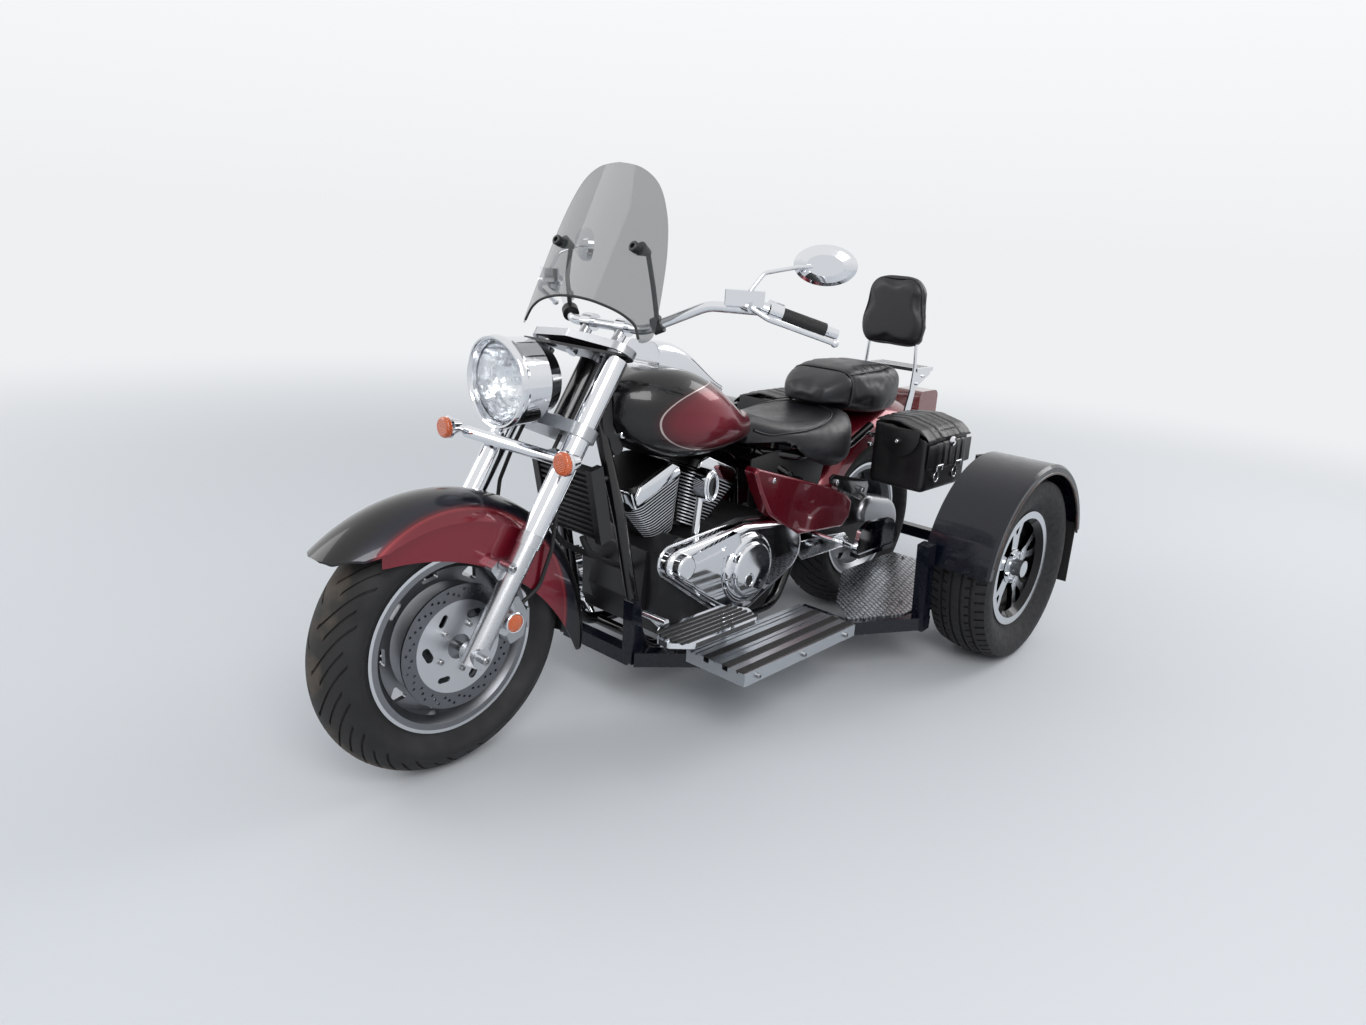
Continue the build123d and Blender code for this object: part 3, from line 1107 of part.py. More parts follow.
# Pieces that are cut back where a neighbour of the same body stands, so that they meet it face to face
FITTED = {
    "neck_covers": ("frame", "fuel_tank"),
    "cylinders": ("engine_cases",),
    "tank_console": ("fuel_tank",),
    "side_covers": ("primary_cover",),
    "fuel_tank": ("frame",),
    "oil_cooler": ("frame",),
    "exhaust": ("cylinders",),
    "floorboards": ("frame", "swingarm", "engine_cases"),
    "foot_controls": ("floorboards", "engine_cases", "primary_cover", "clutch_cover"),
    "rear_fender": ("frame",),
    "rear_lamps": ("rear_fender",),
    "passenger_seat": ("frame",),
    "kit_frame": ("frame",),
    "kit_deck": ("kit_frame",),
    "kit_fenders": ("kit_frame",),
    "side_steps": ("kit_frame",),
    "luggage_rack": ("rear_fender", "saddlebags", "frame"),
    "final_drive": ("swingarm",),
    "lamp_plate": ("triple_clamps", "fork_tubes"),
    "handlebar": ("triple_clamps", "lamp_plate"),
    "mirrors": ("hand_controls",),
    "headlamp": ("triple_clamps",),
    "windshield_brackets": ("windshield",),
    "brake_calipers": ("fork_legs",),
    "front_indicators": ("triple_clamps", "fork_tubes"),
    "brake_hoses": ("brake_calipers", "triple_clamps"),
}

os.makedirs("parts", exist_ok=True)
made = {name: make() for name, make in NODES.items()}
for name, neighbours in FITTED.items():
    for neighbour in neighbours:
        made[name] = made[name] - made[neighbour]
for name, piece in made.items():
    export_step(Pos(0, -MIDDLE_Y, 0) * piece, f"parts/{name}.step")
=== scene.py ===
import bmesh
import bpy
import json
from math import atan2, copysign, cos, hypot, pi, radians, sin, sqrt, tan
from mathutils import Matrix, Vector, kdtree


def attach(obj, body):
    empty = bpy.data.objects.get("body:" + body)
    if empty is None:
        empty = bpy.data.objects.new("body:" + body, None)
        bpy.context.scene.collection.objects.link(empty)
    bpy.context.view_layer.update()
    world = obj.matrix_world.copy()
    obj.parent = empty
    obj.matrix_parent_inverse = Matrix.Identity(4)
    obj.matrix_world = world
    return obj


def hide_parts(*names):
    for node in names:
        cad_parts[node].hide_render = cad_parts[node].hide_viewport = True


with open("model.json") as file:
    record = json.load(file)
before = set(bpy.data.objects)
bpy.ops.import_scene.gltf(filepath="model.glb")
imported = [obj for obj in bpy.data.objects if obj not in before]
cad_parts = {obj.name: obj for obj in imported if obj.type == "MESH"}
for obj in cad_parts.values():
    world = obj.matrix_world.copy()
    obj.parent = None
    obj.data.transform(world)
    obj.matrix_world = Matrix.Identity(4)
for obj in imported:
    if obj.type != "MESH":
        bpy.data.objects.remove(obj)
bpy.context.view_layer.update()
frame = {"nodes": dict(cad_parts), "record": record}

node_at = frame["nodes"]


# Camera: where the photograph was taken from, with the same lens

def photograph_camera():
    azimuth, elevation, roll = radians(41.65), radians(16.51), radians(3.66)
    back = Vector((sin(azimuth) * cos(elevation), -cos(azimuth) * cos(elevation), sin(elevation)))
    right = (-back).cross(Vector((0, 0, 1))).normalized()
    up = right.cross(-back)
    right, up = cos(roll) * right + sin(roll) * up, cos(roll) * up - sin(roll) * right
    lens = bpy.data.cameras.new("photograph_camera")
    lens.sensor_width = 36.0
    lens.lens = 965.9 / 1366 * 36.0
    lens.clip_end = 60.0
    camera = bpy.data.objects.new("photograph_camera", lens)
    bpy.context.collection.objects.link(camera)
    turn = Matrix((right, up, back)).transposed().to_4x4()
    camera.matrix_world = Matrix.Translation((1.784, -2.1253, 1.276)) @ turn
    bpy.context.scene.camera = camera


photograph_camera()

FRONT_AXLE, REAR_AXLE, SIDE_AXLE = (-0.9395, 0.323), (0.7605, 0.3165), (0.7685, 0.300)
CRANK = (-0.222, 0.330)
CYLINDER_LEAN = 22.5


# Materials

def linear(code):
    """An sRGB hex colour as the linear values that the nodes take."""
    parts = [int(code[i:i + 2], 16) / 255 for i in (0, 2, 4)]
    return tuple(p / 12.92 if p <= 0.04045 else ((p + 0.055) / 1.055) ** 2.4 for p in parts) + (1.0,)


def add(tree, kind, values=None, links=None, **settings):
    """Adds a node: values go on its input sockets, and links join another node's output to a socket."""
    made = tree.nodes.new("ShaderNode" + kind)
    for name, value in settings.items():
        setattr(made, name, value)
    for socket, value in (values or {}).items():
        made.inputs[socket].default_value = value
    for socket, (other, output) in (links or {}).items():
        tree.links.new(other.outputs[output], made.inputs[socket])
    return made


def calc(tree, operation, *terms):
    """A Math node's value from numbers and (node, output) pairs."""
    values = {i: t for i, t in enumerate(terms) if not isinstance(t, tuple)}
    links = {i: t for i, t in enumerate(terms) if isinstance(t, tuple)}
    return add(tree, "Math", values, links, operation=operation), "Value"


def start(name, colour, metallic, roughness, **more):
    """A new material with its shader's constant values set, its node tree, and where a point lies."""
    material = bpy.data.materials.new(name)
    material.use_nodes = True
    tree = material.node_tree
    shader = tree.nodes["Principled BSDF"]
    shader.inputs["Base Color"].default_value = linear(colour)
    shader.inputs["Metallic"].default_value = metallic
    shader.inputs["Roughness"].default_value = roughness
    for socket, value in more.items():
        shader.inputs[socket.replace("_", " ")].default_value = value
    return material, tree, (add(tree, "TexCoord"), "Object")


def feed(tree, source, output, socket):
    """Links a node's output to one of the shader's inputs."""
    tree.links.new(source.outputs[output], tree.nodes["Principled BSDF"].inputs[socket])


def vary(tree, where, scale, low, high, detail=4.0):
    """Roughness that wanders between two values, in patches of about 1/scale metres."""
    noise = add(tree, "TexNoise", {"Scale": scale, "Detail": detail}, {"Vector": where})
    spread = add(tree, "MapRange", {"From Min": 0.3, "From Max": 0.7, "To Min": low, "To Max": high},
                 {"Value": (noise, "Fac")})
    feed(tree, spread, "Result", "Roughness")
    return noise


def raise_by(tree, source, output, depth, strength=1.0, invert=False):
    """A bump of a depth in metres from a node's output."""
    bump = add(tree, "Bump", {"Strength": strength, "Distance": depth}, {"Height": (source, output)},
               invert=invert)
    feed(tree, bump, "Normal", "Normal")


def shade_by(tree, source, output, stops):
    """Colours along a node's output, as (position, hex colour) stops."""
    ramp = add(tree, "ValToRGB", None, {"Fac": (source, output)})
    while len(ramp.color_ramp.elements) < len(stops):
        ramp.color_ramp.elements.new(0.5)
    for element, (position, code) in zip(ramp.color_ramp.elements, stops):
        element.position = position
        element.color = linear(code)
    feed(tree, ramp, "Color", "Base Color")


def distance_from_axle(tree, where, axle):
    """How far a point lies from the line through (y, z) along X, in metres."""
    off = add(tree, "VectorMath", {1: (0, *axle)}, {0: where}, operation="SUBTRACT")
    flat = add(tree, "VectorMath", {1: (0, 1, 1)}, {0: (off, "Vector")}, operation="MULTIPLY")
    return add(tree, "VectorMath", None, {0: (flat, "Vector")}, operation="LENGTH"), "Value"


# Chromium plate on polished steel: a mirror with a faintly blue body and hand marks a few centimetres wide
chrome, tree, where = start("chromium_plated_steel", "DCDEE2", 1.0, 0.05)
vary(tree, where, 14.0, 0.03, 0.10)

# Sand-cast aluminium, clear-coated: satin, with a skin of fine grit about 1 mm across
cast_alloy, tree, where = start("lacquered_cast_aluminium", "A9ABAF", 1.0, 0.30,
                                Coat_Weight=0.35, Coat_Roughness=0.12)
grit = vary(tree, where, 900.0, 0.26, 0.38)
raise_by(tree, grit, "Fac", 0.00008)


def brushed(name, colour, roughness, scale, detail, low, high, **more):
    """Metal with a fine grain, drawn out along the axis of the smallest scale."""
    material, tree, where = start(name, colour, 1.0, roughness, **more)
    grain = add(tree, "Mapping", {"Scale": scale}, {"Vector": where})
    lines = add(tree, "TexNoise", {"Scale": 1.0, "Detail": detail}, {"Vector": (grain, "Vector")})
    spread = add(tree, "MapRange", {"To Min": low, "To Max": high}, {"Value": (lines, "Fac")})
    feed(tree, spread, "Result", "Roughness")
    return material


# Lacquered fork legs with a faint grain, and the steps' extrusions, brushed along their length and scuffed
brushed_alloy = brushed("brushed_aluminium", "BFC1C5", 0.27, (900.0, 60.0, 60.0), 2.0, 0.2, 0.36,
                        Coat_Weight=0.3, Coat_Roughness=0.1)
extruded = brushed("extruded_aluminium", "B4B8BD", 0.3, (700.0, 12.0, 700.0), 3.0, 0.18, 0.46)

# Black stove enamel on castings: satin, slightly grained
black_alloy, tree, where = start("black_enamelled_casting", "151517", 0.0, 0.42,
                                 Coat_Weight=0.15, Coat_Roughness=0.3)
grit = vary(tree, where, 700.0, 0.38, 0.52)
raise_by(tree, grit, "Fac", 0.00008)

# Black gloss lacquer on steel tube and pressings
black_gloss, tree, where = start("black_gloss_lacquer_on_steel", "09090B", 0.0, 0.3,
                                 Specular_IOR_Level=0.3, Coat_Weight=0.6, Coat_Roughness=0.05)
vary(tree, where, 60.0, 0.18, 0.28)

# Candy red lacquer over a silver ground: flakes about 0.4 mm across, drawn at 1 mm so that they show
RED_STOPS = ((0.0, "5C0B18"), (1.0, "83142A"))
candy_red, tree, where = start("candy_red_lacquer", "6E0F20", 0.55, 0.26,
                               Coat_Weight=0.8, Coat_Roughness=0.03)
flake = add(tree, "TexVoronoi", {"Scale": 1000.0}, {"Vector": where})
shade_by(tree, flake, "Color", RED_STOPS)

# The same red airbrushed into black: on the tank it is a long teardrop with a fine silver line near its edge
tank_paint, tree, where = start("two_tone_tank_lacquer", "6E0F20", 0.5, 0.3,
                                Coat_Weight=0.6, Coat_Roughness=0.04)
parts = add(tree, "SeparateXYZ", None, {"Vector": where})
ahead = add(tree, "MapRange", {"From Min": -0.19, "From Max": -0.42, "To Min": 0.0, "To Max": 1.0},
            {"Value": (parts, "Y")})
over = add(tree, "MapRange", {"From Min": 0.702, "From Max": 0.896, "To Min": -1.0, "To Max": 1.0},
           {"Value": (parts, "Z")}, clamp=False)
spot = add(tree, "CombineXYZ", None, {"X": (ahead, "Result"), "Y": (over, "Result")})
edge = add(tree, "VectorMath", None, {0: (spot, "Vector")}, operation="LENGTH")
TANK_STOPS = ((0.0, "84142B"), (0.72, "650C1C"), (0.85, "4E0A16"), (0.885, "4A0915"),
              (0.89, "B9A9A6"), (0.905, "B9A9A6"), (0.91, "2A070D"), (1.0, "08080A"))
shade_by(tree, edge, "Value", TANK_STOPS)

# The front fender's black crown fades to the red side along an arc about the wheel, and the navy band between
# them is a painted reflection of blue sky in the black
fender_paint_and_sheen, tree, where = start("two_tone_fender_lacquer_with_painted_sheen", "6E0F20", 0.5, 0.3,
                                  Coat_Weight=0.6, Coat_Roughness=0.04)
reach = distance_from_axle(tree, where, (-0.957, 0.338))
across = add(tree, "MapRange", {"From Min": 0.269, "From Max": 0.369}, {"Value": reach})
# The stops from red to black are the two-tone paint; the navy stop at 0.62 is painted sky reflection
FENDER_PAINT_AND_SHEEN_STOPS = ((0.0, "7A1226"), (0.40, "6A0F1F"), (0.455, "8A2A30"), (0.475, "5A0D1A"),
                (0.54, "1B0A1C"), (0.62, "0B0F20"), (0.8, "08080B"))
shade_by(tree, across, "Result", FENDER_PAINT_AND_SHEEN_STOPS)

# Navy-black gloss enamel on rolled steel, dusty in patches
navy_gloss, tree, where = start("navy_black_enamel_on_steel", "080C18", 0.0, 0.4,
                                Specular_IOR_Level=0.25, Coat_Weight=0.45, Coat_Roughness=0.06)
vary(tree, where, 30.0, 0.2, 0.34)

# Brushed and ground steel for axles, bolts and fittings
ground_steel, tree, where = start("ground_steel", "9A9B9D", 1.0, 0.28)
vary(tree, where, 400.0, 0.22, 0.36)

# Leather and vinyl with a pebble grain about 1.5 mm across
seat_leather, tree, where = start("black_seat_vinyl", "17171B", 0.0, 0.40, Specular_IOR_Level=0.5)
grain = add(tree, "TexVoronoi", {"Scale": 650.0}, {"Vector": where}, feature="DISTANCE_TO_EDGE")
raise_by(tree, grain, "Distance", 0.0006, 0.35)
vary(tree, where, 25.0, 0.34, 0.46)
bag_leather, tree, where = start("oiled_black_saddle_leather", "0F0F11", 0.0, 0.38,
                                 Specular_IOR_Level=0.5)
grain = add(tree, "TexVoronoi", {"Scale": 420.0}, {"Vector": where}, feature="DISTANCE_TO_EDGE")
raise_by(tree, grain, "Distance", 0.0008, 0.4)
vary(tree, where, 18.0, 0.30, 0.48)

# Moulded rubber, and tread rubber greyed by road dust
rubber, tree, where = start("moulded_black_rubber", "131314", 0.0, 0.62)
vary(tree, where, 120.0, 0.55, 0.7)
tyre_rubber, tree, where = start("tyre_rubber", "18181A", 0.0, 0.7)
vary(tree, where, 60.0, 0.6, 0.8)
front_rubber, tree, where = start("tyre_rubber_with_dry_mud", "1C1B1B", 0.0, 0.75)
patch = vary(tree, where, 14.0, 0.65, 0.85, 8.0)
reach = distance_from_axle(tree, where, FRONT_AXLE)
tread = add(tree, "MapRange", {"From Min": 0.286, "From Max": 0.322}, {"Value": reach})
muddy = calc(tree, "MULTIPLY", (tread, "Result"), (patch, "Fac"))
shade_by(tree, *muddy, ((0.0, "18181A"), (0.38, "232220"), (0.55, "4A423A")))

# Moulded black polyamide
plastic, tree, where = start("moulded_black_polyamide", "151516", 0.0, 0.45)
vary(tree, where, 200.0, 0.4, 0.52)


def ribbed_lens(name, colour, roughness, clearness):
    """Moulded acrylic for a lamp's lens, ribbed inside every 4 mm."""
    material, tree, where = start(name, colour, 0.0, roughness, Transmission_Weight=clearness, Coat_Weight=1.0)
    ribs = add(tree, "TexWave", {"Scale": 80.0}, {"Vector": where}, bands_direction="Z")
    raise_by(tree, ribs, "Fac", 0.0012, 0.6)
    return material


amber = ribbed_lens("amber_acrylic", "E0600E", 0.10, 0.25)
red_lens = ribbed_lens("red_acrylic", "7A0A0D", 0.08, 0.2)
clear_lens, tree, where = start("clear_polycarbonate", "F4F7FA", 0.0, 0.02,
                                Transmission_Weight=1.0, IOR=1.2, Alpha=0.4)

# Aluminised reflector, pressed in facets about 12 mm wide
reflector, tree, where = start("aluminised_reflector", "E6E8EB", 1.0, 0.08)
facets = add(tree, "TexVoronoi", {"Scale": 60.0}, {"Vector": where}, feature="SMOOTH_F1")
raise_by(tree, facets, "Distance", 0.006, 0.8)

# Smoked polycarbonate sheet: dark, clear and thin
smoked, tree, where = start("smoked_polycarbonate_sheet", "45494A", 0.0, 0.04, Alpha=0.42)
vary(tree, where, 8.0, 0.03, 0.06)

# Rolled aluminium tread plate: raised lozenges 30 mm long, with a painted highlight on them and painted shade in
# the grooves between them
tread_plate, tree, where = start("rolled_aluminium_tread_plate", "9FA3A8", 1.0, 0.34)
turned_way = add(tree, "Mapping", {"Rotation": (0, 0, radians(35))}, {"Vector": where})
bars = add(tree, "TexBrick", {"Scale": 1.0, "Mortar Size": 0.0042, "Mortar Smooth": 0.4, "Brick Width": 0.034,
                              "Row Height": 0.0145}, {"Vector": (turned_way, "Vector")})
raise_by(tree, bars, "Fac", 0.0035, 1.0, invert=True)
# Painted light: the lozenges are pale as a highlight and the grooves darker as shade, from the same mask as the
# bump
shade_by(tree, bars, "Fac", ((0.0, "D2D5D9"), (0.6, "7E8186")))
vary(tree, where, 90.0, 0.22, 0.36)


def wheel_alloy(name, axle, lip, body_colour):
    """Cast wheel lacquer with a lip that was turned bright beyond a radius."""
    material, tree, where = start(name, body_colour, 1.0, 0.34, Coat_Weight=0.2, Coat_Roughness=0.15)
    reach = distance_from_axle(tree, where, axle)
    rim = add(tree, "MapRange", {"From Min": lip, "From Max": lip + 0.0012}, {"Value": reach})
    shade_by(tree, rim, "Result", ((0.0, body_colour), (1.0, "D2D4D8")))
    smooth = add(tree, "MapRange", {"To Min": 0.36, "To Max": 0.14}, {"Value": (rim, "Result")})
    feed(tree, smooth, "Result", "Roughness")
    return material


front_wheel_alloy = wheel_alloy("cast_front_wheel_alloy", FRONT_AXLE, 0.2095, "808286")
rear_wheel_alloy = wheel_alloy("cast_rear_wheel_alloy", REAR_AXLE, 0.1975, "808286")

# Side wheels: faces turned bright and pockets left in black enamel
side_wheel_alloy, tree, where = start("machined_wheel_with_black_pockets", "C6C9CE", 0.9, 0.2,
                                      Coat_Weight=0.4, Coat_Roughness=0.08)
facing = add(tree, "SeparateXYZ", None, {"Vector": (where[0], "Normal")})
flat = calc(tree, "ABSOLUTE", (facing, "X"))
reach = distance_from_axle(tree, where, SIDE_AXLE)
cap = calc(tree, "LESS_THAN", reach, 0.036)
bright = calc(tree, "MAXIMUM", flat, cap)
shade_by(tree, *bright, ((0.0, "0D0D0F"), (0.72, "131316"), (0.80, "C6C9CE")))


def rotor_steel(name, axle, carrier):
    """Disc rotors: a darker rubbed ring with fine circular scoring, and a bright carrier inside it."""
    material, tree, where = start(name, "7D7F82", 1.0, 0.3)
    reach = distance_from_axle(tree, where, axle)
    ring = add(tree, "MapRange", {"From Min": carrier - 0.0006, "From Max": carrier + 0.0006},
               {"Value": reach})
    shade_by(tree, ring, "Result", ((0.0, "C9CBCF"), (1.0, "707276")))
    score = calc(tree, "MULTIPLY", reach, 3000.0)
    wave = calc(tree, "SINE", score)
    raise_by(tree, *wave, 0.00006)
    return material


front_rotor = rotor_steel("front_rotor_steel", FRONT_AXLE, 0.112)
rear_rotor = rotor_steel("rear_rotor_steel", REAR_AXLE, 0.102)

# Finned cylinders in black enamel: the fins' edges were machined bright, square to each cylinder's axis
fin_alloy, tree, where = start("black_cylinders_with_machined_fin_edges", "121214", 0.6, 0.36)
sizes = []
for lean in (-CYLINDER_LEAN, CYLINDER_LEAN):
    axis = (0, sin(radians(lean)), cos(radians(lean)))
    along = add(tree, "VectorMath", {1: axis}, {0: (where[0], "Normal")}, operation="DOT_PRODUCT")
    sizes.append(calc(tree, "ABSOLUTE", (along, "Value")))
larger = calc(tree, "MAXIMUM", *sizes)
edges = calc(tree, "LESS_THAN", larger, 0.9)
reach = distance_from_axle(tree, where, CRANK)
below_head = calc(tree, "LESS_THAN", reach, 0.3035)
side = add(tree, "SeparateXYZ", None, {"Vector": where})
side_size = calc(tree, "ABSOLUTE", (side, "X"))
outside = calc(tree, "GREATER_THAN", side_size, 0.056)
fin = calc(tree, "MULTIPLY", edges, below_head)
fin = calc(tree, "MULTIPLY", fin, outside)
shade_by(tree, *fin, ((0.0, "101012"), (1.0, "C2C4C8")))

LOOKS = {
    "frame": black_gloss, "black_alloy": black_alloy, "chrome": chrome, "cast_alloy": cast_alloy,
    "paint": candy_red, "kit_paint": navy_gloss, "steel": ground_steel, "leather": bag_leather,
    "seat": seat_leather, "rubber": rubber, "tyre": tyre_rubber, "plastic": plastic, "amber": amber,
    "lamp": red_lens, "screen": smoked, "lens": clear_lens, "checker": tread_plate,
}
NODE_LOOKS = {
    "fuel_tank": tank_paint, "front_fender": fender_paint_and_sheen, "front_wheel": front_wheel_alloy,
    "rear_wheel": rear_wheel_alloy, "side_wheel_left": side_wheel_alloy, "side_wheel_right": side_wheel_alloy,
    "cylinders": fin_alloy, "fork_legs": brushed_alloy, "side_steps": extruded, "swingarm": black_alloy,
}
for part in frame["record"]["subparts"]:
    shape = node_at[part["node"]]
    shape.data.materials.clear()
    shape.data.materials.append(NODE_LOOKS.get(part["node"], LOOKS[part["material_slot"]]))


# Tools for modelling by hand

def nothing_selected():
    if bpy.context.object and bpy.context.object.mode != "OBJECT":
        bpy.ops.object.mode_set(mode="OBJECT")
    bpy.ops.object.select_all(action="DESELECT")


def mm(*numbers):
    return Vector([n / 1000 for n in numbers])


def choose(kind, test):
    """Selects the vertices, edges or faces of the piece in edit mode that pass a test."""
    bpy.ops.mesh.select_mode(type=kind)
    bpy.ops.mesh.select_all(action="DESELECT")
    shape = bmesh.from_edit_mesh(bpy.context.object.data)
    for item in {"VERT": shape.verts, "EDGE": shape.edges, "FACE": shape.faces}[kind]:
        if test(item):
            item.select_set(True)
    bmesh.update_edit_mesh(bpy.context.object.data)


def drawn(points, closed=False, filled=False):
    """A line through the points, drawn by extruding one vertex, left in edit mode with all of it selected."""
    nothing_selected()
    points = [Vector(p) for p in points]
    bpy.ops.mesh.primitive_plane_add(size=0.002, location=points[0])
    bpy.ops.object.transform_apply(location=True, rotation=False, scale=False)
    bpy.ops.object.mode_set(mode="EDIT")
    bpy.ops.mesh.select_mode(type="VERT")
    bpy.ops.mesh.select_all(action="SELECT")
    bpy.ops.mesh.merge(type="CENTER")
    for before, after in zip(points, points[1:]):
        bpy.ops.mesh.extrude_region_move(TRANSFORM_OT_translate={"value": after - before})
    if closed or filled:
        choose("VERT", lambda v: len(v.link_edges) == 1)
        bpy.ops.mesh.edge_face_add()
    bpy.ops.mesh.select_all(action="SELECT")
    if filled:
        bpy.ops.mesh.edge_face_add()
    return bpy.context.object


def closed_up():
    """Merges doubles and turns the faces outwards."""
    bpy.ops.mesh.select_all(action="SELECT")
    bpy.ops.mesh.remove_doubles(threshold=0.00002)
    bpy.ops.mesh.normals_make_consistent(inside=False)


def turned(points, centre, axis, steps, closed=False):
    """A profile spun a full turn about an axis."""
    drawn(points, closed=closed)
    bpy.ops.mesh.spin(steps=steps, angle=2 * pi, center=centre, axis=axis)
    closed_up()
    return bpy.context.object


def spun(middle, axis, out, rows, steps, closed=False):
    """A profile of (along the axis, out from it) rows in mm, spun about the axis through a middle point."""
    middle, axis, out = mm(*middle), Vector(axis), Vector(out)
    return turned([middle + (axis * a + out * b) / 1000 for a, b in rows], middle, axis, steps, closed)


def beside(x, rows):
    """Points in mm on a plane square to X, from (y, z) rows."""
    return [mm(x, y, z) for y, z in rows]


def plate(points, push, bevel=0.0, segments=2):
    """A flat outline pushed to a thickness, with its edges rounded."""
    drawn(points, filled=True)
    bpy.ops.mesh.extrude_region_move(TRANSFORM_OT_translate={"value": Vector(push)})
    closed_up()
    bpy.ops.object.mode_set(mode="OBJECT")
    if bevel:
        apply_modifier("BEVEL", width=bevel, segments=segments, limit_method="ANGLE")
    return bpy.context.object


def apply_modifier(kind, **settings):
    made = bpy.context.object.modifiers.new(kind.lower(), kind)
    for name, value in settings.items():
        setattr(made, name, value)
    bpy.ops.object.modifier_apply(modifier=made.name)


def tube(points, radius, closed=False, smooth=True):
    """A round bar or piping along a smooth line."""
    nothing_selected()
    line = bpy.data.curves.new("tube_line", "CURVE")
    line.dimensions = "3D"
    line.bevel_depth = radius
    line.bevel_resolution = 3
    line.use_fill_caps = True
    run = line.splines.new("NURBS" if smooth else "POLY")
    run.points.add(len(points) - 1)
    for point, place in zip(run.points, points):
        point.co = (*place, 1.0)
    run.use_cyclic_u = closed
    if smooth:
        run.order_u = 3
        run.use_endpoint_u = not closed
    piece = bpy.data.objects.new("tube", line)
    bpy.context.collection.objects.link(piece)
    piece.select_set(True)
    bpy.context.view_layer.objects.active = piece
    bpy.ops.object.convert(target="MESH")
    return bpy.context.object


def active(piece):
    nothing_selected()
    piece.select_set(True)
    bpy.context.view_layer.objects.active = piece
    return piece


def join(pieces):
    nothing_selected()
    for piece in pieces:
        piece.select_set(True)
    bpy.context.view_layer.objects.active = pieces[0]
    if len(pieces) > 1:
        bpy.ops.object.join()
    return bpy.context.object


def copies(piece, places):
    """Copies of a piece, one at each matrix, each with its own mesh, made one piece."""
    made = []
    start_place = piece.matrix_world.copy()
    for place in places:
        copy = piece.copy()
        copy.data = piece.data.copy()
        bpy.context.collection.objects.link(copy)
        copy.matrix_world = place @ start_place
        made.append(copy)
    bpy.data.objects.remove(piece)
    joined = join(made)
    bpy.ops.object.transform_apply(location=True, rotation=True, scale=True)
    return joined


def settle(name, body, slot, material=None, hides=(), smooth=40):
    """Ends a piece: its place goes into its mesh, and it gets its finish and the body it rides on."""
    piece = bpy.context.object
    if piece.mode != "OBJECT":
        bpy.ops.object.mode_set(mode="OBJECT")
    active(piece)
    bpy.ops.object.transform_apply(location=True, rotation=True, scale=True)
    piece.name = name
    piece.data.name = name
    piece.data.materials.clear()
    piece.data.materials.append(material or LOOKS[slot])
    bpy.ops.object.shade_smooth_by_angle(angle=radians(smooth))
    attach(piece, body)
    if hides:
        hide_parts(*hides)
    return piece


def copy_of(node):
    """A merged copy of a CAD node's mesh, to be worked on."""
    nothing_selected()
    piece = bpy.data.objects.new(node + "_copy", node_at[node].data.copy())
    bpy.context.collection.objects.link(piece)
    active(piece)
    bpy.ops.object.mode_set(mode="EDIT")
    bpy.ops.mesh.select_all(action="SELECT")
    bpy.ops.mesh.remove_doubles(threshold=0.00002)
    bpy.ops.object.mode_set(mode="OBJECT")
    return piece


def turn_to(direction):
    """The turn that takes +Z to a direction."""
    return Vector(direction).to_track_quat("Z", "Y").to_matrix().to_4x4()


def socket_bolt():
    """A socket-head bolt 1 mm across, standing on the origin along +Z, with a few dozen faces."""
    nothing_selected()
    bpy.ops.mesh.primitive_cylinder_add(vertices=12, radius=0.0005, depth=0.0006, location=(0, 0, 0.0002))
    bpy.ops.object.transform_apply(location=True, rotation=False, scale=False)
    bpy.ops.object.mode_set(mode="EDIT")
    choose("FACE", lambda f: f.normal.z > 0.9)
    bpy.ops.mesh.inset(thickness=0.00008, depth=0.00008)
    bpy.ops.mesh.inset(thickness=0.00016, depth=0)
    bpy.ops.mesh.inset(thickness=0.00001, depth=-0.0003)
    bpy.ops.object.mode_set(mode="OBJECT")
    return bpy.context.object


def bolts(name, body, slot, rows, material=None):
    """Bolts at (x, y, z) in mm, each with its diameter in mm and the way that its head faces."""
    places = [Matrix.Translation(mm(*at)) @ turn_to(way) @ Matrix.Scale(size, 4) for *at, size, way in rows]
    copies(socket_bolt(), places)
    return settle(name, body, slot, material, smooth=30)


LEFT, RIGHT, AHEAD, UP = (1, 0, 0), (-1, 0, 0), (0, -1, 0), (0, 0, 1)


# Tyres: each point of the profile is turned about the axle, so that the grid's columns run as the grooves do

def on_wheel(x, radius, turn, axle):
    return Vector((x, axle[0] + radius * sin(turn), axle[1] + radius * cos(turn)))


